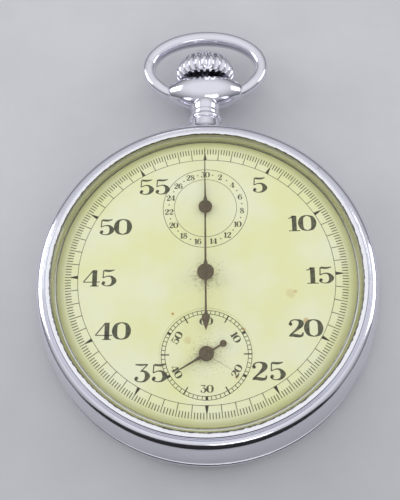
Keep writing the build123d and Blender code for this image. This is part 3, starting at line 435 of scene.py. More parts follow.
@dataclass(frozen=True)
class PlatedMetal:
    """Bright plating with fine scratches, dull patches and pin-prick pits."""

    name: str
    tint: Colour = (0.80, 0.80, 0.86)
    tarnish: Colour = (0.34, 0.25, 0.21)
    rough: float = 0.10
    pits: float = 0.5
    tarnish_from: float = 0.66
    # inside this radius the plating gets painted shade, olive darkening towards the top; zero leaves it bare
    yellowed_within: float = 0.0

    def material(self) -> bpy.types.Material:
        """Build the material."""
        sheet = Sheet(self.name)
        clouds = sheet.noise(0.35, 6.0)
        patches = sheet.ramp(clouds, (self.tarnish_from, 0.0), (self.tarnish_from + 0.14, 0.55))
        pits = sheet.ramp(sheet.cells(2.6), (0.0, 1.0), (0.055, 0.0))
        scattered = sheet.ramp(sheet.noise(0.9, 2.0), (0.52, 0.0), (0.62, self.pits))
        pitted = sheet.math("MULTIPLY", pits, scattered)
        marks = sheet.math("MAXIMUM", patches, pitted)
        colour = sheet.blend(marks, self.tint, self.tarnish)
        # painted shade on the bezel's inner wall and seat
        if self.yellowed_within:
            colour = self.yellow(sheet, colour)
        sheet.link(colour, sheet.shader.inputs["Base Color"])
        streaks = sheet.noise(1.0, 8.0, 0.75, sheet.stretch((0.6, 5.0, 3.0)))
        low, high = self.rough, self.rough + 0.13
        wear = sheet.ramp(streaks, (0.40, low), (0.70, high))
        sheet.link(sheet.blend(marks, wear, (0.42,) * 3), sheet.shader.inputs["Roughness"])
        if not self.yellowed_within:
            sheet.set(Metallic=1.0)
        sheet.bump(sheet.noise(0.16, 3.0), 0.35, 0.05)
        sheet.bump(streaks, 0.10, 0.006)
        sheet.bump(sheet.ramp(pitted, (0.0, 1.0), (1.0, 0.0)), 0.35, 0.02)
        return sheet.material


    def yellow(self, sheet: Sheet, metal: bpy.types.NodeSocket) -> bpy.types.NodeSocket:
        """Paint the wall under the glass olive, darker towards the top: a painted image of the dial's rim seen
        through the glass, under painted shade of the bezel.

        Args:
            sheet: The material.
            metal: Colour of the bare plating.

        Returns:
            The colour with the varnish.
        """
        away = sheet.math("DIVIDE", sheet.distance((0.0, 0.0)), self.yellowed_within)
        bare = sheet.ramp(away, (0.9985, 0.0), (0.9995, 1.0))
        sheet.link(bare, sheet.shader.inputs["Metallic"])
        split = sheet.tree.nodes.new("ShaderNodeSeparateXYZ")
        sheet.link(sheet.millimetres, split.inputs["Vector"])
        height = sheet.math("SUBTRACT", sheet.math("MULTIPLY", split.outputs["Z"], 0.8), 7.7)
        # painted shade: olive at the foot of the wall, dark brown at its top
        wall_shade_stops = ((0.0, (0.66, 0.64, 0.34)), (0.55, (0.46, 0.43, 0.20)), (1.0, (0.20, 0.17, 0.08)))
        wall_shade = sheet.ramp(height, *wall_shade_stops)
        return sheet.blend(bare, wall_shade, metal)


@dataclass(frozen=True)
class AgedEnamel:
    """Cream dial paint with brown specks, rust stains and painted shade of the bezel: a darker olive ring at the
    edge.
    """

    centre: Point
    subdial: Point
    cream: Colour = (0.95, 0.93, 0.56)
    pale: Colour = (0.99, 0.98, 0.78)
    # colour of the painted bezel shade at the dial's edge
    rim: Colour = (0.60, 0.59, 0.29)
    stain: Colour = (0.62, 0.30, 0.05)
    speck: Colour = (0.16, 0.13, 0.07)

    def stained(self, sheet: Sheet, paint: bpy.types.NodeSocket) -> bpy.types.NodeSocket:
        """Lay the round rust stains over the paint.

        Args:
            sheet: The material.
            paint: Colour so far.

        Returns:
            The colour with the stains.
        """
        spots = [
            ((-4.7, -5.6), 0.42, 0.95),
            ((13.9, -6.9), 0.95, 0.60),
            ((12.6, -2.6), 0.55, 0.45),
            ((11.9, -2.9), 1.30, 0.22),
            ((5.2, -8.0), 0.55, 0.55),
            ((4.1, -14.6), 0.60, 0.40),
            ((-2.6, -9.4), 1.10, 0.25),
        ]
        ragged = sheet.noise(1.6, 5.0, 0.7)
        for place, radius, strength in spots:
            reach = sheet.math("DIVIDE", sheet.distance(place), radius)
            torn = sheet.math("ADD", reach, sheet.math("MULTIPLY", ragged, 0.8))
            share = sheet.ramp(torn, (0.75, strength), (1.35, 0.0))
            paint = sheet.blend(share, paint, self.stain)
        return paint

    def specked(self, sheet: Sheet, paint: bpy.types.NodeSocket) -> bpy.types.NodeSocket:
        """Lay dark specks over the paint, thickest round the arbors.

        Args:
            sheet: The material.
            paint: Colour so far.

        Returns:
            The colour with the specks.
        """
        zones = [
            (self.centre, 1.0, 3.9, 0.85),
            (self.subdial, 0.8, 5.2, 0.80),
            (self.centre, 0.0, 22.0, 0.22),
        ]
        dust = sheet.noise(3.2, 6.0, 0.8)
        for place, inner, outer, strength in zones:
            near = sheet.ramp(
                sheet.math("DIVIDE", sheet.distance(place), outer), (inner / outer, strength), (1.0, 0.0)
            )
            threshold = sheet.math("ADD", dust, sheet.math("MULTIPLY", near, 0.16))
            share = sheet.math("MULTIPLY", sheet.ramp(threshold, (0.60, 0.0), (0.72, 0.8)), near)
            paint = sheet.blend(share, paint, self.speck)
        pricks = sheet.ramp(sheet.cells(0.55), (0.0, 1.0), (0.055, 0.0))
        some = sheet.ramp(sheet.noise(0.4, 2.0), (0.50, 0.0), (0.60, 0.75))
        return sheet.blend(sheet.math("MULTIPLY", pricks, some), paint, self.speck)

    def material(self) -> bpy.types.Material:
        """Build the material."""
        sheet = Sheet("aged_enamel")
        clouds = sheet.ramp(sheet.noise(0.12, 5.0, 0.55), (0.38, 0.0), (0.66, 1.0))
        paint = sheet.blend(clouds, self.cream, self.pale)
        away = sheet.distance(self.centre)
        # painted shade: the dial turns darker olive towards its edge, where the bezel's shadow falls
        edge = sheet.ramp(sheet.math("DIVIDE", away, 21.4), (0.90, 0.0), (0.945, 0.25), (0.99, 0.9))
        paint = sheet.blend(edge, paint, self.rim)
        paint = self.specked(sheet, self.stained(sheet, paint))
        sheet.link(paint, sheet.shader.inputs["Base Color"])
        sheet.link(
            sheet.ramp(sheet.noise(0.8, 5.0), (0.35, 0.30), (0.70, 0.48)), sheet.shader.inputs["Roughness"]
        )
        sheet.set(Coat_Weight=0.15, Coat_Roughness=0.25)
        sheet.bump(sheet.noise(2.2, 6.0, 0.7), 0.12, 0.01)
        return sheet.material


@dataclass(frozen=True)
class FadedInk:
    """Printed ink, worn thin in places so that the grey turns olive."""

    name: str
    dark: Colour = (0.030, 0.030, 0.020)
    worn: Colour = (0.20, 0.20, 0.115)

    def material(self) -> bpy.types.Material:
        """Build the material."""
        sheet = Sheet(self.name)
        wear = sheet.ramp(sheet.noise(1.9, 7.0, 0.8), (0.36, 0.0), (0.74, 1.0))
        sheet.link(sheet.blend(wear, self.dark, self.worn), sheet.shader.inputs["Base Color"])
        sheet.set(Roughness=0.55)
        return sheet.material


@dataclass(frozen=True)
class RustedSteel:
    """Hand steel gone brown, with a grainy skin and brighter rubbed spots."""

    name: str = "oxidised_hand_steel"
    base: Colour = (0.085, 0.058, 0.036)
    bright: Colour = (0.24, 0.185, 0.125)

    def material(self) -> bpy.types.Material:
        """Build the material."""
        sheet = Sheet(self.name)
        grain = sheet.noise(4.5, 8.0, 0.8)
        sheet.link(
            sheet.blend(sheet.ramp(grain, (0.40, 0.0), (0.68, 1.0)), self.base, self.bright),
            sheet.shader.inputs["Base Color"],
        )
        sheet.link(sheet.ramp(grain, (0.3, 0.62), (0.7, 0.38)), sheet.shader.inputs["Roughness"])
        sheet.set(Metallic=0.3)
        sheet.bump(grain, 0.6, 0.03)
        return sheet.material


@dataclass(frozen=True)
class ClearGlass:
    """Old mineral glass: clear, with a touch of green and faint hairline scratches."""

    name: str = "crystal_glass"
    tint: Colour = (0.985, 0.992, 0.955)
    index: float = 1.5

    def material(self) -> bpy.types.Material:
        """Build the material: light passes straight, the surface mirrors by Fresnel."""
        sheet = Sheet(self.name)
        clear = sheet.tree.nodes.new("ShaderNodeBsdfTransparent")
        clear.inputs["Color"].default_value = (*self.tint, 1.0)
        gloss = sheet.shader
        sheet.set(Base_Color=(1.0, 1.0, 1.0, 1.0), Metallic=1.0, Roughness=0.03)
        scratches = sheet.noise(1.0, 8.0, 0.8, sheet.stretch((0.5, 7.0, 1.0)))
        sheet.bump(sheet.ramp(scratches, (0.60, 0.0), (0.66, 1.0)), 0.08, 0.004)
        fresnel = sheet.tree.nodes.new("ShaderNodeFresnel")
        fresnel.inputs["IOR"].default_value = self.index
        side = sheet.tree.nodes.new("ShaderNodeNewGeometry")
        outside = sheet.math("SUBTRACT", 1.0, side.outputs["Backfacing"])
        mirror = sheet.math("MULTIPLY", sheet.math("MULTIPLY", fresnel.outputs["Fac"], 0.6), outside)
        mix = sheet.tree.nodes.new("ShaderNodeMixShader")
        sheet.link(mirror, mix.inputs["Fac"])
        sheet.link(clear.outputs["BSDF"], mix.inputs[1])
        sheet.link(gloss.outputs["BSDF"], mix.inputs[2])
        sheet.link(mix.outputs["Shader"], sheet.output.inputs["Surface"])
        return sheet.material


class Grain(Enum):
    """How a metal of the movement is finished."""

    CIRCLES = "overlapping ground circles"
    STRIPES = "broad ground stripes"
    TURNED = "fine turning rings"
    STRAIGHT = "straight emery grain"


@dataclass(frozen=True)
class WorkshopMetal:
    """Metal of the movement with the grain that its tool left."""

    name: str
    tint: Colour
    shade: Colour
    grain: Grain
    rough: float = 0.28

    def pattern(self, sheet: Sheet) -> bpy.types.NodeSocket:
        """Make the grain's height.

        Args:
            sheet: The material.

        Returns:
            The height, from 0 to 1.
        """
        if self.grain is Grain.CIRCLES:
            return sheet.ramp(sheet.cells(0.9), (0.0, 0.0), (0.55, 1.0), (0.75, 0.3))
        if self.grain is Grain.STRAIGHT:
            return sheet.noise(2.0, 6.0, 0.8, sheet.stretch((0.5, 6.0, 2.0)))
        wave = sheet.tree.nodes.new("ShaderNodeTexWave")
        rings = self.grain is Grain.TURNED
        wave.wave_type = "RINGS" if rings else "BANDS"
        if rings:
            wave.rings_direction = "Z"
        wave.inputs["Scale"].default_value = 1.6 if rings else 0.11
        wave.inputs["Distortion"].default_value = 0.6 if rings else 0.0
        sheet.link(sheet.millimetres, wave.inputs["Vector"])
        return wave.outputs["Fac"]

    def material(self) -> bpy.types.Material:
        """Build the material."""
        sheet = Sheet(self.name)
        height = self.pattern(sheet)
        dull = sheet.ramp(sheet.noise(0.5, 5.0), (0.42, 0.0), (0.72, 0.8))
        mixed = sheet.blend(dull, sheet.ramp(height, (0.0, self.shade), (1.0, self.tint)), self.shade)
        sheet.link(mixed, sheet.shader.inputs["Base Color"])
        fine = sheet.noise(6.0, 4.0)
        sheet.link(
            sheet.ramp(fine, (0.3, self.rough), (0.7, self.rough + 0.15)), sheet.shader.inputs["Roughness"]
        )
        sheet.set(Metallic=1.0)
        sheet.bump(height, 0.25, 0.02)
        sheet.bump(fine, 0.08, 0.006)
        return sheet.material


@dataclass(frozen=True)
class Ruby:
    """Synthetic ruby of the bearings and pallets."""

    name: str = "bearing_ruby"

    def material(self) -> bpy.types.Material:
        """Build the material."""
        sheet = Sheet(self.name)
        depth = sheet.ramp(sheet.noise(1.2, 3.0), (0.3, (0.42, 0.01, 0.06)), (0.7, (0.75, 0.05, 0.16)))
        sheet.link(depth, sheet.shader.inputs["Base Color"])
        sheet.set(Roughness=0.06, Transmission_Weight=0.35, IOR=1.76)
        return sheet.material


@dataclass
class Palette:
    """Every finish of the watch, built once."""

    made: dict[str, bpy.types.Material] = field(default_factory=dict)

    def get(self, finish: object) -> bpy.types.Material:
        """Build a finish on first use.

        Args:
            finish: Any finish with a material method.

        Returns:
            Its material.
        """
        key = repr(finish)
        if key not in self.made:
            self.made[key] = finish.material()
        return self.made[key]


PALETTE = Palette()


def dress(
    piece: bpy.types.Object, finish: object, body: Body, slot: Slot, *replaced: str
) -> bpy.types.Object:
    """Give a finished piece its material and body, and hide the nodes it stands for.

    Args:
        piece: The piece.
        finish: Its finish.
        body: What it moves with.
        slot: The record's slot; not used.
        replaced: CAD nodes that it stands for.

    Returns:
        The same piece.
    """
    piece.data.materials.clear()
    piece.data.materials.append(PALETTE.get(finish))
    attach(piece, body.value)
    if replaced:
        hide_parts(*replaced)
    LOG.info("%s: %d faces, rides on %s", piece.name, len(piece.data.polygons), body.value)
    return piece


def arbor_of(joint: str) -> Vector:
    """Read where a joint stands, in millimetres."""
    for entry in frame["record"]["behaviour"]["joints"]:
        if entry["name"] == joint:
            return Vector(entry["pos_m"]) / MM
    raise KeyError(joint)


def corners_of(node: str) -> tuple[Vector, Vector]:
    """Read a CAD node's lowest and highest corners, in millimetres."""
    low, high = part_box(node)
    return low / MM, high / MM


# ---- printed work ----


@dataclass
class Ink:
    """A layer of printed shapes, each a thin slab on the dial."""

    level: float
    thick: float = 0.014
    sunk: float = 0.004
    slabs: list[list[Point]] = field(default_factory=list)

    def polygon(self, points: Iterable[Point]) -> None:
        """Add one flat shape."""
        self.slabs.append(list(points))

    def disc(self, centre: Point, radius: float, corners: int = 20) -> None:
        """Add a round dot."""
        self.polygon(around(centre, 360.0 * index / corners, radius) for index in range(corners))

    def ring(self, centre: Point, radius: float, width: float, chords: int = 180) -> None:
        """Add a thin circle, as a run of four-sided slabs."""
        for index in range(chords):
            a, b = 360.0 * index / chords, 360.0 * (index + 1) / chords
            inner, outer = radius - width / 2, radius + width / 2
            self.polygon(
                [
                    around(centre, a, inner),
                    around(centre, a, outer),
                    around(centre, b, outer),
                    around(centre, b, inner),
                ]
            )

    def tick(
        self, centre: Point, second: float, span: Point, wide: float, wide_out: float | None = None
    ) -> None:
        """Add a radial stroke of a 60-second circle.

        Args:
            centre: Centre of the circle.
            second: Place on the circle.
            span: Inner and outer radius.
            wide: Width at the inner end.
            wide_out: Width at the outer end, the same if left out.
        """
        angle = 90.0 - 6.0 * second
        across = (-sin(radians(angle)), cos(radians(angle)))
        corners = []
        for radius, width, side in (
            (span[0], wide, -1),
            (span[0], wide, 1),
            (span[1], wide if wide_out is None else wide_out, 1),
            (span[1], wide if wide_out is None else wide_out, -1),
        ):
            x, y = around(centre, angle, radius)
            corners.append((x + side * across[0] * width / 2, y + side * across[1] * width / 2))
        self.polygon(corners)

    def ribbon(self, run: Sequence[tuple[float, ...]], place: Callable[[Point], Point]) -> None:
        """Add a brush stroke.

        Args:
            run: Samples (x, y, half width) along the stroke.
            place: Moves a point of the figure to the dial.
        """
        edges = []
        for index, (x, y, half) in enumerate(run):
            before = run[max(index - 1, 0)]
            after = run[min(index + 1, len(run) - 1)]
            dx, dy = after[0] - before[0], after[1] - before[1]
            size = hypot(dx, dy) or 1.0
            edges.append(
                ((x - dy / size * half, y + dx / size * half), (x + dy / size * half, y - dx / size * half))
            )
        for (a, b), (c, d) in zip(edges, edges[1:]):
            self.polygon([place(a), place(b), place(d), place(c)])

    def print(self, name: str) -> bpy.types.Object:
        """Make the mesh of all slabs.

        Args:
            name: Name of the piece.

        Returns:
            The new object.
        """
        bm = bmesh.new()
        for slab in self.slabs:
            top = [bm.verts.new((x, y, self.level + self.thick)) for x, y in slab]
            low = [bm.verts.new((x, y, self.level - self.sunk)) for x, y in slab]
            bm.faces.new(top)
            for index in range(len(slab)):
                following = (index + 1) % len(slab)
                bm.faces.new((top[index], low[index], low[following], top[following]))
        bmesh.ops.recalc_face_normals(bm, faces=bm.faces)
        bmesh.ops.scale(bm, vec=(MM, MM, MM), verts=bm.verts)
        mesh = bpy.data.meshes.new(name)
        bm.to_mesh(mesh)
        bm.free()
        piece = bpy.data.objects.new(name, mesh)
        bpy.context.scene.collection.objects.link(piece)
        return piece


Stroke = list[tuple[float, float, float]]


class Figures:
    """High-contrast figures with ball ends, one unit tall, drawn as strokes (x, y, half width)."""

    BALL = 0.095
    WIDTHS = {"1": 0.42, "0": 0.72}
    USUAL_WIDTH = 0.67

    STROKES: dict[str, list[Stroke]] = {
        "0": [
            [(0, 0.98, 0.02), (0.2, 0.86, 0.06), (0.27, 0.5, 0.095), (0.2, 0.14, 0.06), (0, 0.02, 0.02)],
            [(0, 0.98, 0.02), (-0.2, 0.86, 0.06), (-0.27, 0.5, 0.095), (-0.2, 0.14, 0.06), (0, 0.02, 0.02)],
        ],
        "1": [
            [(0.04, 0.03, 0.085), (0.04, 0.97, 0.085)],
            [(-0.19, 0.02, 0.022), (0.27, 0.02, 0.022)],
            [(-0.2, 0.80, 0.02), (-0.08, 0.86, 0.03), (0.0, 0.95, 0.05)],
        ],
        "2": [
            [(-0.24, 0.72, 0.03), (-0.15, 0.93, 0.028), (0.03, 0.98, 0.03), (0.2, 0.88, 0.08), (0.2, 0.66, 0.09),
             (0.02, 0.40, 0.05), (-0.24, 0.10, 0.022)],
            [(-0.26, 0.05, 0.03), (-0.12, 0.10, 0.075), (0.08, 0.06, 0.075), (0.22, 0.08, 0.05),
             (0.28, 0.26, 0.018)],
        ],
        "3": [
            [(-0.23, 0.97, 0.03), (0.0, 0.95, 0.045), (0.24, 0.97, 0.03)],
            [(0.23, 0.95, 0.02), (0.0, 0.62, 0.022)],
            [(-0.04, 0.60, 0.022), (0.14, 0.58, 0.05), (0.24, 0.34, 0.09), (0.14, 0.08, 0.05),
             (-0.05, 0.02, 0.022), (-0.2, 0.10, 0.03), (-0.23, 0.22, 0.03)],
        ],
        "4": [
            [(0.12, 0.02, 0.085), (0.12, 0.98, 0.085)],
            [(-0.05, 0.02, 0.022), (0.29, 0.02, 0.022)],
            [(0.06, 0.97, 0.022), (-0.33, 0.27, 0.022)],
            [(-0.33, 0.26, 0.022), (0.34, 0.26, 0.022)],
        ],
        "5": [
            [(-0.17, 0.95, 0.05), (0.05, 0.92, 0.055), (0.25, 0.98, 0.02)],
            [(-0.19, 0.96, 0.02), (-0.21, 0.50, 0.02)],
            [(-0.21, 0.50, 0.022), (-0.04, 0.60, 0.026), (0.14, 0.56, 0.05), (0.24, 0.32, 0.09),
             (0.14, 0.08, 0.05), (-0.05, 0.02, 0.022), (-0.2, 0.10, 0.03), (-0.23, 0.20, 0.03)],
        ],
        "6": [
            [(0.2, 0.84, 0.03), (0.08, 0.97, 0.022), (-0.12, 0.85, 0.06), (-0.25, 0.5, 0.09), (-0.19, 0.16, 0.07),
             (0.0, 0.02, 0.022), (0.17, 0.12, 0.06), (0.22, 0.32, 0.08), (0.14, 0.52, 0.05), (0.0, 0.58, 0.022),
             (-0.17, 0.48, 0.022)],
        ],
        "7": [
            [(-0.24, 0.94, 0.05), (0.05, 0.92, 0.06), (0.26, 0.96, 0.03)],
            [(0.26, 0.94, 0.02), (0.05, 0.5, 0.05), (-0.03, 0.05, 0.09)],
        ],
        "8": [
            [(0, 0.98, 0.022), (-0.17, 0.88, 0.06), (-0.15, 0.66, 0.06), (0.06, 0.51, 0.06), (0.22, 0.30, 0.08),
             (0.14, 0.08, 0.05), (0, 0.02, 0.022), (-0.18, 0.10, 0.05), (-0.22, 0.30, 0.05), (-0.05, 0.50, 0.03),
             (0.15, 0.66, 0.03), (0.16, 0.87, 0.05), (0, 0.98, 0.022)],
        ],
    }
    BALLS = {"2": [(-0.19, 0.73)], "3": [(-0.18, 0.22)], "5": [(-0.18, 0.21)], "6": [(0.17, 0.81)]}

    @classmethod
    def strokes(cls, digit: str) -> tuple[list[Stroke], list[Point]]:
        """Find the strokes and balls of a digit; nine is six turned over."""
        if digit != "9":
            return cls.STROKES[digit], cls.BALLS.get(digit, [])
        turned_over = [[(-x, 1 - y, half) for x, y, half in stroke] for stroke in cls.STROKES["6"]]
        return turned_over, [(-x, 1 - y) for x, y in cls.BALLS["6"]]

    @classmethod
    def write(
        cls,
        ink: Ink,
        text: str,
        centre: Point,
        height: float,
        turn: float = 0.0,
        bold: float = 1.0,
        wide: float = 1.0,
    ) -> None:
        """Print a number.

        Args:
            ink: Layer to print on.
            text: The digits.
            centre: Middle of the number.
            height: Height of the figures in millimetres.
            turn: Degrees, counter-clockwise.
            bold: Factor on the stroke widths.
            wide: Factor on the widths of the figures.
        """
        widths = [cls.WIDTHS.get(digit, cls.USUAL_WIDTH) * wide for digit in text]
        along = -sum(widths) / 2
        c, s = cos(radians(turn)), sin(radians(turn))
        for digit, width in zip(text, widths):
            middle = along + width / 2
            along += width

            def place(point: Point, shift: float = middle) -> Point:
                """Move a point of the figure to the dial."""
                x, y = (point[0] * wide + shift) * height, (point[1] - 0.5) * height
                return (centre[0] + x * c - y * s, centre[1] + x * s + y * c)

            strokes, balls = cls.strokes(digit)
            for stroke in strokes:
                thick = [(x, y, half * bold) for x, y, half in stroke]
                ink.ribbon(smooth_path(thick) if len(thick) > 2 else thick, place)
            for ball in balls:
                ink.disc(place(ball), cls.BALL * height, 14)


# ---- the dial ----


FIGURE_PLACES: dict[int, Point] = {
    5: (8.02, 14.08),
    10: (14.08, 7.81),
    15: (16.20, -0.23),
    20: (13.66, -7.92),
    25: (8.34, -13.84),
    35: (-7.73, -13.93),
    40: (-13.03, -7.98),
    45: (-15.20, -0.15),
    50: (-13.33, 7.72),
    55: (-7.69, 14.10),
}


@dataclass
class Dial:
    """The enamelled dial with its sunk seconds circle and all its printing."""

    centre: Point = (0.0, 0.0)
    minute: Point = (0.0, 0.0)
    seconds: Point = (0.0, 0.0)
    radius: float = 21.4
    top: float = 9.5
    thick: float = 0.4
    sunk: float = 0.1
    sunk_radius: float = 6.6
    hole: float = 0.5
    track_inner: float = 18.4
    band_inner: float = 19.38
    band_outer: float = 20.24
    figure_height: float = 2.5
    rail_inner: float = 5.74
    rail_outer: float = 6.25

    @classmethod
    def from_frame(cls) -> "Dial":
        """Take the dial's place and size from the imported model."""
        low, high = corners_of("dial")
        places = [arbor_of(name) for name in ("chronograph_turn", "minute_turn", "seconds_turn")]
        centre, minute, seconds = [(place.x, place.y) for place in places]
        return cls(
            centre=centre,
            minute=minute,
            seconds=seconds,
            radius=(high.x - low.x) / 2,
            top=high.z,
            thick=high.z - low.z,
        )

    def plate(self) -> None:
        """Build the disc: a ring-shaped field, the sunk circle and three arbor holes."""
        bm = bmesh.new()
        outline = [(self.hole, -self.thick), (self.radius, -self.thick), (self.radius, -0.06)]
        outline += arc((self.radius, -0.06), (self.radius - 0.02, -0.02), (self.radius - 0.07, 0.0), 4)
        outline += [(self.radius - 1.0 * index, 0.0) for index in range(1, 21)] + [(self.hole, 0.0)]
        rings = []
        segments = 256
        for index in range(segments):
            turn = 2 * pi * index / segments
            rings.append([Vector((r * cos(turn), r * sin(turn), self.top + z)) for r, z in outline])
        skin(bm, rings, closed=True)
        piece = new_piece("dial_plate", bm)
        carve(
            piece,
            self.recess("sink", self.seconds, self.sunk_radius, self.sunk),
            self.recess("seconds_hole", self.seconds, self.hole, 2 * self.thick),
            self.recess("minute_hole", self.minute, self.hole, 2 * self.thick),
        )
        soften(piece, 0.05)
        dress(piece, AgedEnamel(self.centre, self.seconds), Body.CASE, Slot.DIAL, "dial")

    def recess(self, name: str, place: Point, radius: float, depth: float) -> bpy.types.Object:
        """Make the cutter of a round recess.

        Args:
            name: Name of the cutter.
            place: Centre of the recess.
            radius: Its radius.
            depth: How deep it goes from the top.

        Returns:
            The cutter.
        """
        profile = [(0.0, -depth), (radius, -depth), (radius, 1.0), (0.0, 1.0)]
        return turned(name, profile, Matrix.Translation((*place, self.top)), segments=128)

    def print_track(self) -> None:
        """Print the fifth-second track, its five-second wedges and the large figures."""
        ink = Ink(self.top)
        ink.ring(self.centre, self.track_inner, 0.07, 240)
        for fifth in range(300):
            second = fifth / 5
            if fifth % 5:
                ink.tick(self.centre, second, (self.band_inner, self.band_outer), 0.12)
            else:
                ink.tick(self.centre, second, (self.track_inner, self.band_outer), 0.10)
            if fifth % 25 == 0:
                ink.tick(self.centre, second, (self.track_inner, self.band_inner + 0.15), 0.52, 0.10)
        dress(ink.print("track_print"), FadedInk("track_ink"), Body.CASE, Slot.DIAL)
        figures = Ink(self.top)
        for second, place in FIGURE_PLACES.items():
            Figures.write(figures, str(second), place, self.figure_height, bold=1.12, wide=1.42)
        dress(figures.print("figure_print"), FadedInk("figure_ink"), Body.CASE, Slot.DIAL)

    def print_minutes(self) -> None:
        """Print the 30-minute counter: two circles, even figures and dots for the odd minutes."""
        ink = Ink(self.top)
        ink.ring(self.minute, 6.25, 0.07)
        ink.ring(self.minute, 4.6, 0.06)
        for minute in range(1, 31):
            place = clock(self.minute, minute * 2, 5.42)
            if minute % 2:
                ink.disc(place, 0.10, 12)
            else:
                Figures.write(ink, str(minute), place, 0.86, bold=1.25, wide=1.15)
        dress(ink.print("minute_print"), FadedInk("minute_ink"), Body.CASE, Slot.DIAL)

    def print_seconds(self) -> None:
        """Print the running seconds circle: a railway track, long strokes, blocks and figures."""
        ink = Ink(self.top - self.sunk)
        ink.ring(self.seconds, self.rail_inner, 0.08)
        ink.ring(self.seconds, self.rail_outer, 0.08)
        for second in range(60):
            span = (self.rail_inner, self.rail_outer)
            ink.tick(self.seconds, second, span, 0.09)
            if second % 10 == 0:
                ink.tick(self.seconds, second, span, 0.38)
            elif second % 5 == 0:
                ink.tick(self.seconds, second, (self.rail_inner - 0.60, self.rail_outer + 0.05), 0.17)
        for ten in range(1, 7):
            second = ten * 10
            place = clock(self.seconds, second, 4.72)
            turn = -6.0 * second + (180.0 if 15 < second < 45 else 0.0)
            Figures.write(ink, str(second), place, 1.02, turn, bold=1.25, wide=1.3)
        dress(ink.print("seconds_print"), FadedInk("seconds_ink"), Body.CASE, Slot.DIAL)

    def build(self) -> None:
        """Build the plate and print it."""
        self.plate()
        self.print_track()
        self.print_minutes()
        self.print_seconds()


# ---- the hands ----


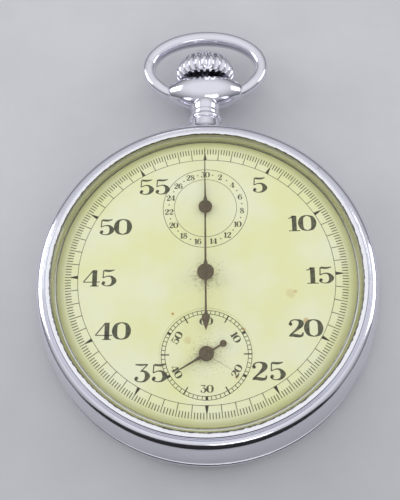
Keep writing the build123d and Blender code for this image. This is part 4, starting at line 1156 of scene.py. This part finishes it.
@dataclass
class Hands:
    """The sweep hand, the minute hand and the running seconds hand."""

    seconds_shown: float = 39.9
    thick: float = 0.13
    facets: tuple[Point, ...] = ((-1.0, 0.0), (-0.92, 0.55), (-0.45, 1.0), (0.45, 1.0), (0.92, 0.55), (1.0, 0.0))

    def blade(self, bm: bmesh.types.BMesh, stations: Sequence[Point], level: float) -> None:
        """Add a slim domed blade along +Y.

        Args:
            bm: Mesh to add to.
            stations: (y, half width) from tail to tip.
            level: Height of its underside.
        """
        rings = [
            [Vector((x * half, y, level + z * self.thick)) for x, z in self.facets] for y, half in stations
        ]
        skin(bm, rings, closed=False, capped=True)

    def hub(self, bm: bmesh.types.BMesh, profile: Sequence[Point], level: float) -> None:
        """Add a turned hub about Z.

        Args:
            bm: Mesh to add to.
            profile: Closed outline (radius, height above level).
            level: Height of its underside.
        """
        rings = []
        for index in range(64):
            turn = 2 * pi * index / 64
            rings.append([Vector((r * cos(turn), r * sin(turn), level + z)) for r, z in profile])
        skin(bm, rings, closed=True)

    def finish(self, name: str, bm: bmesh.types.BMesh, place: Point, turn: float, body: Body) -> None:
        """Set a hand on its arbor and dress it.

        Args:
            name: Name of the piece, and with _steel left off, of the CAD node.
            bm: Its mesh, pointing to +Y about the origin.
            place: Its arbor.
            turn: Degrees, counter-clockwise.
            body: What it moves with.
        """
        bmesh.ops.rotate(bm, matrix=Matrix.Rotation(radians(turn), 3, "Z"), verts=bm.verts)
        bmesh.ops.translate(bm, vec=(*place, 0.0), verts=bm.verts)
        piece = new_piece(name, bm)
        dress(piece, RustedSteel(), body, Slot.HAND, name.removesuffix("_steel"))

    @staticmethod
    def boss(radius: float, rise: float, base: float) -> list[Point]:
        """Outline of a hub with a rounded rim and a small arbor end in the middle."""
        return [
            (0.0, 0.0),
            (radius, 0.0),
            (radius, base),
            *arc((radius, base), (radius - 0.07, base + 0.07), (radius - 0.16, base + 0.1), 4),
            (radius * 0.42, base + 0.11),
            (radius * 0.40, rise),
            *arc((radius * 0.40, rise), (radius * 0.25, rise + 0.05), (0.0, rise + 0.06), 4),
        ]

    def sweep(self) -> None:
        """Build the long centre hand with its spear tail."""
        low, high = corners_of("sweep_hand")
        arbor = arbor_of("chronograph_turn")
        length, tail = high.y - arbor.y, arbor.y - low.y
        bm = bmesh.new()
        self.blade(
            bm,
            [
                (-tail, 0.03),
                (-tail + 0.5, 0.20),
                (-tail + 1.0, 0.38),
                (-tail + 1.55, 0.53),
                (-tail + 1.95, 0.575),
                (-tail + 2.2, 0.48),
                (-tail + 2.35, 0.25),
                (-tail + 2.6, 0.15),
                (-2.0, 0.13),
                (-1.0, 0.20),
                (0.0, 0.24),
                (1.3, 0.30),
                (1.9, 0.15),
                (8.0, 0.12),
                (length - 1.0, 0.07),
                (length, 0.045),
            ],
            low.z,
        )
        self.hub(bm, self.boss(1.2, 0.26, 0.12), low.z)
        self.finish("sweep_hand_steel", bm, (arbor.x, arbor.y), 0.0, Body.SWEEP)

    def minute(self) -> None:
        """Build the minute counter's hand."""
        low, high = corners_of("minute_hand")
        arbor = arbor_of("minute_turn")
        bm = bmesh.new()
        self.blade(
            bm, [(-1.8, 0.1), (-0.9, 0.2), (0.0, 0.3), (1.2, 0.28), (1.9, 0.13), (high.y - arbor.y, 0.05)], low.z
        )
        self.hub(bm, self.boss(1.0, 0.24, 0.12), low.z)
        self.finish("minute_hand_steel", bm, (arbor.x, arbor.y), 0.0, Body.MINUTE)

    def seconds(self) -> None:
        """Build the running seconds hand with its round tail."""
        low, _ = corners_of("seconds_hand")
        arbor = arbor_of("seconds_turn")
        bm = bmesh.new()
        self.blade(
            bm, [(-2.4, 0.12), (-0.9, 0.14), (0.0, 0.3), (1.25, 0.26), (1.9, 0.15), (4.0, 0.1), (4.8, 0.04)], low.z
        )
        self.hub(bm, self.boss(1.05, 0.24, 0.12), low.z)
        self.tail(bm, low.z)
        turn = -6.0 * self.seconds_shown
        self.finish("seconds_hand_steel", bm, (arbor.x, arbor.y), turn, Body.SECONDS)

    def tail(self, bm: bmesh.types.BMesh, level: float) -> None:
        """Add the round counterweight of the seconds hand."""
        rings = []
        for index in range(40):
            turn = 2 * pi * index / 40
            x, y = cos(turn), sin(turn)
            profile = [(0.0, 0.0), (0.48, 0.0), (0.48, 0.08), (0.42, 0.13), (0.0, 0.14)]
            rings.append([Vector((r * x, -2.7 + r * y, level + z)) for r, z in profile])
        skin(bm, rings, closed=True)

    def build(self) -> None:
        """Build all three hands."""
        self.sweep()
        self.minute()
        self.seconds()


# ---- the case ----


@dataclass
class Case:
    """The middle, the bezel with its crystal, and the back cover."""

    finish: PlatedMetal = PlatedMetal("case_plating")

    def middle(self) -> None:
        """Build the bulging middle with its two spigots."""
        low, high = corners_of("case_middle")
        widest = high.x
        shoulder = corners_of("bezel")[0].z - 0.05
        seam = corners_of("back_cover")[1].z + 0.05
        outline = [(23.30, seam), (widest - 0.30, seam)]
        outline += arc(outline[-1], (widest - 0.22, seam + 0.02), (widest - 0.18, seam + 0.12), 4)
        outline += arc(outline[-1], (widest, seam + 1.5), (widest - 0.12, seam + 2.7), 14)
        outline += arc(outline[-1], (widest - 0.40, seam + 4.7), (widest - 0.82, shoulder - 0.08), 14)
        outline += [(widest - 0.9, shoulder), (23.20, shoulder), (23.20, high.z)]
        outline += [(21.60, high.z), (21.60, low.z), (23.30, low.z)]
        piece = turned("middle_band", outline)
        carve(piece, self.pendant_seat())
        dress(piece, self.finish, Body.CASE, Slot.CASE, "case_middle")

    def pendant_seat(self) -> bpy.types.Object:
        """Make the cutter of the hole that the pendant's tube enters."""
        stand = Matrix.Translation((0.0, 20.4, arbor_of("crown_push").z)) @ Matrix.Rotation(-pi / 2, 4, "X")
        return turned("seat", [(0.0, 0.0), (1.76, 0.0), (1.76, 8.0), (0.0, 8.0)], stand, segments=64)

    def bezel(self) -> None:
        """Build the bezel: a stepped foot, a broad rounded flank and fine turned steps."""
        low, high = corners_of("bezel")
        outer = high.x
        outline = [(23.25, low.z), (outer - 0.06, low.z)]
        outline += arc(outline[-1], (outer - 0.01, low.z + 0.02), (outer, low.z + 0.08), 4)
        outline += arc(outline[-1], (24.52, 9.50), (24.28, 9.95), 8)
        outline += arc(outline[-1], (23.85, 10.42), (23.30, 10.66), 12)
        outline += [(23.24, 10.60), (23.14, 10.72), (23.06, 10.66), (22.96, 10.78), (22.88, 10.72)]
        outline += [(22.74, 10.84), (22.24, 10.84), (22.24, 9.72)]
        outline += [(21.75, 9.72), (21.75, 9.51), (23.25, 9.51)]
        # the bezel's wall and seat inside 22.25 mm get painted shade
        finish = PlatedMetal("bezel_plating", rough=0.08, pits=0.9, yellowed_within=22.25)
        dress(turned("bezel_ring", outline, segments=288), finish, Body.BEZEL, Slot.CASE, "bezel")
        self.lip_ring(high.z)
        self.rim_dirt()

    def lip_ring(self, top: float) -> None:
        """Build the burnished lip, ragged with age.

        Args:
            top: Height of its crest.
        """
        section = [(22.22, -0.16), (22.74, -0.16), (22.70, -0.03)]
        section += [(22.50, 0.0), (22.30, -0.01), (22.22, -0.05)]
        bm = bmesh.new()
        rings = []
        for index in range(720):
            turn = 2 * pi * index / 720
            around_edge = Vector((22.0 * cos(turn), 22.0 * sin(turn), 0.0))
            ragged = noise.noise(around_edge * 1.7) + 0.6 * noise.noise(around_edge * 5.3)
            ring = []
            for radius, height in section:
                inner = (22.74 - radius) / 0.52
                worn = radius + 0.10 * ragged * inner
                ring.append(Vector((worn * cos(turn), worn * sin(turn), top + height + 0.03 * ragged)))
            rings.append(ring)
        skin(bm, rings, closed=True)
        finish = PlatedMetal("lip_plating", (0.97, 0.97, 1.0), rough=0.22, pits=0.7)
        dress(new_piece("bezel_lip", bm), finish, Body.BEZEL, Slot.CASE)

    def rim_dirt(self) -> None:
        """Build the thin brown line of dirt in the seam between lip and glass."""
        bm = bmesh.new()
        rings = []
        for index in range(720):
            turn = 2 * pi * index / 720
            place = Vector((21.0 * cos(turn), 21.0 * sin(turn), 3.0))
            ragged = noise.noise(place * 1.3) + 0.5 * noise.noise(place * 4.1)
            inner = 22.12 - 0.05 * (1.0 + ragged)
            section = [(22.26, 10.72), (22.26, 10.86), (inner, 10.90), (inner, 10.80)]
            rings.append([Vector((radius * cos(turn), radius * sin(turn), z)) for radius, z in section])
        skin(bm, rings, closed=True)
        grime = FadedInk("seam_grime", (0.03, 0.02, 0.01), (0.10, 0.07, 0.03))
        dress(new_piece("seam_dirt", bm), grime, Body.BEZEL, Slot.CASE)

    def crystal(self) -> None:
        """Build the domed glass."""
        low, high = corners_of("crystal")
        radius = high.x
        outline = [(21.35, low.z), (radius, low.z), (radius, 10.9)]
        outline += arc(outline[-1], (21.85, 11.62), (20.9, 12.0), 14)
        outline += arc(outline[-1], (10.45, 12.6), (0.0, high.z), 18)
        outline += [(0.0, 12.05)]
        outline += arc(outline[-1], (10.25, 11.875), (20.5, 11.35), 18)
        outline += arc(outline[-1], (21.15, 11.05), (21.35, 10.6), 8)
        dress(turned("crystal_dome", outline, segments=256), ClearGlass(), Body.BEZEL, Slot.GLASS, "crystal")

    def back(self) -> None:
        """Build the back cover: a flat, a round edge and the bead."""
        low, high = corners_of("back_cover")
        widest = high.x
        flat, skin_thick = 18.0, 0.6
        outline = [(0.0, low.z), (flat / 2, low.z), (flat, low.z)]
        outline += arc(outline[-1], (widest - 2.4, 0.45), (widest - 0.05, 1.40), 22)
        outline += arc(outline[-1], (widest, 1.75), (widest - 0.3, high.z), 8)
        outline += [(23.35, high.z), (23.35, 1.25)]
        outline += arc(outline[-1], (21.4, 0.85), (flat, skin_thick), 8)
        outline += [(0.0, skin_thick)]
        dress(turned("back_shell", outline), self.finish, Body.BACK, Slot.CASE, "back_cover")

    def build(self) -> None:
        """Build the four parts of the case."""
        self.middle()
        self.bezel()
        self.crystal()
        self.back()


# ---- pendant, crown and bow ----


@dataclass
class Pendant:
    """The neck on the case, the boat-shaped head, the winding crown and the bow."""

    finish: PlatedMetal = PlatedMetal("pendant_plating", rough=0.09, pits=0.7)
    bore: float = 0.85
    flutes: int = 24
    flute_steps: int = 14
    flute_from: float = 1.6
    flute_fade: float = 0.3
    flute_bulge: float = 0.7
    flute_depth: float = 0.085
    bow_half_width: float = 9.3
    bow_half_height: float = 5.95
    bow_radial: float = 1.08
    bow_axial: float = 1.25
    bow_end: float = 6.03
    head_top: float = 34.25
    head_deep: float = 3.1
    head_tall: float = 3.1
    head_tip: float = 1.25
    knee: float = 0.36
    flat: float = 0.06
    cheek: float = 0.28

    def upright(self) -> Matrix:
        """Stand that turns a piece's local Z to +Y on the pendant's axis."""
        return Matrix.Translation((0.0, 0.0, arbor_of("crown_push").z)) @ Matrix.Rotation(-pi / 2, 4, "X")

    def stock(self) -> None:
        """Build the neck: a flared foot, a shadow groove, a bead and a collar under the head."""
        foot = 25.16
        outline = [(self.bore, 21.9), (1.70, 21.9), (1.70, foot), (2.93, foot)]
        outline += arc(outline[-1], (2.60, foot + 0.45), (2.46, foot + 1.1), 8)
        outline += [(2.30, foot + 1.2), (2.30, foot + 2.1)]
        outline += arc(outline[-1], (2.68, foot + 2.6), (2.30, foot + 3.1), 10)
        outline += [(2.22, foot + 3.25)]
        outline += arc(outline[-1], (2.30, foot + 3.6), (2.27, foot + 3.95), 6)
        outline += [(2.20, foot + 4.0), (2.20, foot + 4.08)]
        outline += arc(outline[-1], (2.34, foot + 4.5), (2.28, foot + 5.6), 8)
        outline += [(self.bore, foot + 5.6)]
        neck = turned("pendant_neck", outline, self.upright(), 128)
        dress(neck, self.finish, Body.CASE, Slot.CASE, "pendant")

    def depth_at(self, share: float) -> float:
        """Half depth of the head, in three soft facets, at a share of its half length."""
        if share < self.knee:
            return self.head_deep * (1 - self.flat * share / self.knee)
        along = (share - self.knee) / (1 - self.knee)
        straight = self.head_deep * (1 - self.flat) * (1 - along) + self.head_tip * along
        return straight + self.cheek * sin(pi * along)

    def head(self) -> None:
        """Build the boat: a lens-shaped collar, flat on top under the crown."""
        half = corners_of("pendant")[1].x
        pivot = arbor_of("bow_swing")
        bm = bmesh.new()
        rings = []
        stations = 64
        for index in range(stations + 1):
            x = -half + 2 * half * index / stations
            share = abs(x) / half
            inward = 1 - share**2
            deep = self.depth_at(share)
            tall = self.head_tip + (self.head_tall - self.head_tip) * inward
            rounding = max(0.0, 1.0 - (half - abs(x)) / 0.2)
            deep, tall = deep - 0.12 * rounding**2, tall - 0.12 * rounding**2
            ring = []
            for corner in range(96):
                turn = 2 * pi * corner / 96
                ring.append(Vector((x, pivot.y + tall * sin(turn), pivot.z + deep * cos(turn))))
            rings.append(ring)
        skin(bm, rings, closed=False, capped=True)
        piece = new_piece("pendant_head", bm, sharp=28.0)
        above = [(0.0, self.head_top), (7.0, self.head_top), (7.0, 38.0), (0.0, 38.0)]
        carve(piece, turned("flat", above, self.upright(), 96))
        soften(piece, 0.12, 3)
        dress(piece, self.finish, Body.CASE, Slot.CASE, "pendant")

    def flute(self, low: float, high: float, turn: float, point: Point) -> float:
        """Radius of the scalloped crown at an angle.

        Args:
            low: Height of the crown's foot.
            high: Height of the crown's top.
            turn: Angle round the crown in radians.
            point: Outline point (radius, height).

        Returns:
            The radius with its flute.
        """
        radius, height = point
        if not low < height < high or radius < self.flute_from:
            return radius
        rise = min(1.0, (height - low) / self.flute_fade, (high - height) / self.flute_fade)
        lobe = abs(cos(self.flutes / 2 * turn)) ** self.flute_bulge
        return radius * (1 - self.flute_depth * (1 - lobe) * rise)

    def crown(self) -> None:
        """Build the fluted onion and its polished cap."""
        low, top = (corner.y for corner in corners_of("crown"))
        high = corners_of("crown_cap")[1].y
        outline = [(self.bore, low), (4.15, low), (4.30, low + 0.1)]
        outline += arc(outline[-1], (4.91, low + 1.25), (4.55, low + 2.5), 14)
        outline += arc(outline[-1], (3.55, top - 0.75), (1.7, top), 14)
        outline += [(self.bore, top)]
        shape = partial(self.flute, low, top)
        fluted = turned("crown_onion", outline, self.upright(), self.flutes * self.flute_steps, shape)
        dress(fluted, self.finish, Body.CROWN, Slot.CASE, "crown")
        dome = [(0.0, top - 0.02), (1.5, top - 0.02), (1.52, top + 0.08)]
        dome += arc(dome[-1], (1.2, high - 0.18), (0.6, high - 0.03), 8)
        dome += arc(dome[-1], (0.3, high - 0.008), (0.0, high), 4)
        button = turned("crown_button", dome, self.upright(), 96)
        dress(button, self.finish, Body.CROWN, Slot.CASE, "crown_cap")

    def bow(self) -> None:
        """Build the bow: an oval ring whose rounded ends sit against the head."""
        high = corners_of("bow")[1]
        pivot = arbor_of("bow_swing")
        middle = high.y - self.bow_half_height - self.bow_radial
        start = acos(5.5 / self.bow_half_width)
        count = 150
        rings = []
        for index in range(count + 1):
            turn = -start + (pi + 2 * start) * index / count
            x, y = self.bow_half_width * cos(turn), middle + self.bow_half_height * sin(turn)
            out = Vector((cos(turn) / self.bow_half_width, sin(turn) / self.bow_half_height, 0.0))
            out.normalize()
            end = min(index, count - index)
            swell = 0.80 + 0.20 * min(1.0, end / 12)
            ring = []
            for corner in range(40):
                angle = 2 * pi * corner / 40
                flatness = 1.0 / (abs(cos(angle)) ** 2.5 + abs(sin(angle)) ** 2.5) ** 0.4
                side = out * (self.bow_radial * swell * cos(angle) * flatness)
                lift = self.bow_axial * swell * sin(angle) * flatness
                point = Vector((x, y, pivot.z + lift)) + side
                point.x = copysign(max(abs(point.x), self.bow_end), point.x) if point.y < 35.0 else point.x
                ring.append(point)
            rings.append(ring)
        bm = bmesh.new()
        skin(bm, rings, closed=False, capped=True)
        piece = new_piece("bow_ring", bm)
        soften(piece, 0.10, 3)
        dress(piece, self.finish, Body.BOW, Slot.CASE, "bow")
        for name, side in (("bow_pin_left", -1), ("bow_pin_right", 1)):
            inward = Matrix.Rotation(-side * pi / 2, 4, "Y")
            stand = Matrix.Translation((side * 6.6, pivot.y, pivot.z)) @ inward
            outline = [(0.0, 0.0), (0.45, 0.0), (0.45, 1.7), (0.38, 1.77), (0.0, 1.77)]
            dress(turned(name, outline, stand, 48), self.finish, Body.BOW, Slot.CASE)

    def build(self) -> None:
        """Build neck, head, crown and bow."""
        self.stock()
        self.head()
        self.crown()
        self.bow()


# ---- the movement ----


@dataclass
class Movement:
    """The works under the dial, kept from the CAD model and given their finishes."""

    finishes: dict[str, object] = field(
        default_factory=lambda: {
            "plate_nickel": WorkshopMetal(
                "ground_nickel", (0.80, 0.78, 0.72), (0.52, 0.50, 0.45), Grain.STRIPES
            ),
            "wheel_brass": WorkshopMetal(
                "gilt_brass", (0.86, 0.66, 0.30), (0.55, 0.38, 0.14), Grain.TURNED, 0.22
            ),
            "work_steel": WorkshopMetal(
                "emery_steel", (0.62, 0.62, 0.64), (0.34, 0.34, 0.36), Grain.STRAIGHT, 0.2
            ),
            "spring_blue": WorkshopMetal(
                "blued_steel", (0.05, 0.09, 0.30), (0.03, 0.04, 0.12), Grain.STRAIGHT, 0.18
            ),
            "case_metal": PlatedMetal("plain_plating"),
            "hand_steel": RustedSteel("spare_hand_steel"),
            "ruby": Ruby(),
        }
    )
    mainplate: WorkshopMetal = WorkshopMetal(
        "pearled_nickel", (0.78, 0.76, 0.70), (0.50, 0.48, 0.43), Grain.CIRCLES
    )

    def build(self) -> None:
        """Dress every CAD node that still shows."""
        slots = {entry["node"]: entry["material_slot"] for entry in frame["record"]["subparts"]}
        for name, node in frame["nodes"].items():
            if node.hide_render:
                continue
            finish = self.mainplate if name == "mainplate" else self.finishes[slots[name]]
            material = PALETTE.get(finish)
            if not node.data.materials:
                node.data.materials.append(material)
            for index in range(len(node.data.materials)):
                node.data.materials[index] = material
            LOG.info("%s: CAD node in %s", name, material.name)


# ---- studio ----


@dataclass
class Studio:
    """A pale floor, soft lamps and the camera."""

    eye: tuple[float, float, float] = (2.8, -33.6, 109.1)
    heading: float = -5.53
    dip: float = 69.29
    roll: float = -6.16
    lens: float = 53.0
    floor_size: float = 700.0
    left_sky: Colour = (0.90, 0.93, 1.0)
    right_sky: Colour = (0.90, 0.92, 1.0)

    def floor(self) -> None:
        """Lay a broad pale floor under the watch."""
        bm = bmesh.new()
        bmesh.ops.create_grid(bm, x_segments=8, y_segments=8, size=self.floor_size)
        bmesh.ops.translate(bm, vec=(0.0, 0.0, -0.02), verts=bm.verts)
        piece = new_piece("studio_floor", bm)
        sheet = Sheet("pale_floor")
        shade = sheet.ramp(sheet.noise(0.05, 4.0), (0.3, (0.60, 0.60, 0.61)), (0.7, (0.66, 0.66, 0.67)))
        sheet.link(shade, sheet.shader.inputs["Base Color"])
        sheet.set(Roughness=0.75)
        piece.data.materials.append(sheet.material)

    def card(self, name: str, corner: Vector, across: Vector, along: Vector, shade: float) -> None:
        """Stand a matt card beside the watch for its metal to mirror.

        Args:
            name: Name of the card.
            corner: One corner, in millimetres.
            across: One edge.
            along: The other edge.
            shade: Its grey.
        """
        bm = bmesh.new()
        corners = (corner, corner + across, corner + across + along, corner + along)
        bm.faces.new([bm.verts.new(place) for place in corners])
        piece = new_piece(name, bm)
        sheet = Sheet(name + "_paint")
        sheet.set(Base_Color=(shade, shade, shade * 1.02, 1.0), Roughness=0.9)
        piece.data.materials.append(sheet.material)

    def lamp(self, name: str, place: Vector, size: float, power: float, colour: Colour = (1, 1, 1)) -> None:
        """Hang a square soft lamp that looks at the watch.

        Args:
            name: Name of the lamp.
            place: Where it hangs, in millimetres.
            size: Its side in millimetres.
            power: Its power in watts.
            colour: Its colour.
        """
        data = bpy.data.lights.new(name, "AREA")
        data.shape = "SQUARE"
        data.size = size * MM
        data.energy = power
        data.color = colour
        lamp = bpy.data.objects.new(name, data)
        lamp.location = place * MM
        lamp.rotation_mode = "QUATERNION"
        lamp.rotation_quaternion = (-place).to_track_quat("-Z", "Y")
        bpy.context.scene.collection.objects.link(lamp)

    def world(self) -> None:
        """Fill the room with soft light, brighter above than at the horizon."""
        world = bpy.data.worlds.new("room")
        world.use_nodes = True
        tree = world.node_tree
        background = tree.nodes["Background"]
        coordinates = tree.nodes.new("ShaderNodeTexCoord")
        split = tree.nodes.new("ShaderNodeSeparateXYZ")
        ramp = tree.nodes.new("ShaderNodeValToRGB")
        tree.links.new(coordinates.outputs["Generated"], split.inputs["Vector"])
        tree.links.new(split.outputs["Z"], ramp.inputs["Fac"])
        ramp.color_ramp.elements[0].position = 0.0
        ramp.color_ramp.elements[0].color = (0.10, 0.10, 0.115, 1.0)
        ramp.color_ramp.elements[1].position = 0.9
        ramp.color_ramp.elements[1].color = (0.95, 0.96, 1.0, 1.0)
        tree.links.new(ramp.outputs["Color"], background.inputs["Color"])
        background.inputs["Strength"].default_value = 0.92
        bpy.context.scene.world = world

    def camera(self) -> None:
        """Set the camera by its place, heading, dip and roll."""
        heading, dip, roll = (radians(value) for value in (self.heading, self.dip, self.roll))
        forward = Vector((sin(heading) * cos(dip), cos(heading) * cos(dip), -sin(dip)))
        right = forward.cross(Vector((0, 0, 1))).normalized()
        up = right.cross(forward)
        right, up = right * cos(roll) + up * sin(roll), up * cos(roll) - right * sin(roll)
        turn = Matrix((right, up, -forward)).transposed()
        data = bpy.data.cameras.new("camera")
        data.lens = self.lens
        data.sensor_width = 36.0
        data.clip_start = 1.0 * MM
        data.clip_end = 10.0
        camera = bpy.data.objects.new("camera", data)
        camera.rotation_mode = "QUATERNION"
        camera.rotation_quaternion = turn.to_quaternion()
        camera.location = Vector(self.eye) * MM
        bpy.context.scene.collection.objects.link(camera)
        bpy.context.scene.camera = camera

    def build(self) -> None:
        """Build the whole studio."""
        self.floor()
        self.world()
        self.camera()
        self.lamp("left_window", Vector((-260.0, 90.0, 150.0)), 170.0, 0.26, self.left_sky)
        self.lamp("right_window", Vector((270.0, 60.0, 130.0)), 150.0, 0.17, self.right_sky)
        self.lamp("low_front", Vector((60.0, -260.0, 190.0)), 120.0, 0.10)
        self.card("dark_front", Vector((-95, -58, 1)), Vector((190, 0, 0)), Vector((0, -30, 62)), 0.010)
        scene = bpy.context.scene
        scene.view_settings.view_transform = "Standard"
        scene.view_settings.look = "None"


def main() -> None:
    """Build the watch piece by piece, then the studio around it."""
    logging.basicConfig(level=logging.INFO, format="%(name)s %(message)s")
    for assembly in (Case(), Dial.from_frame(), Hands(), Pendant(), Movement(), Studio()):
        LOG.info("building %s", type(assembly).__name__)
        assembly.build()


if __name__ == "__main__":
    main()
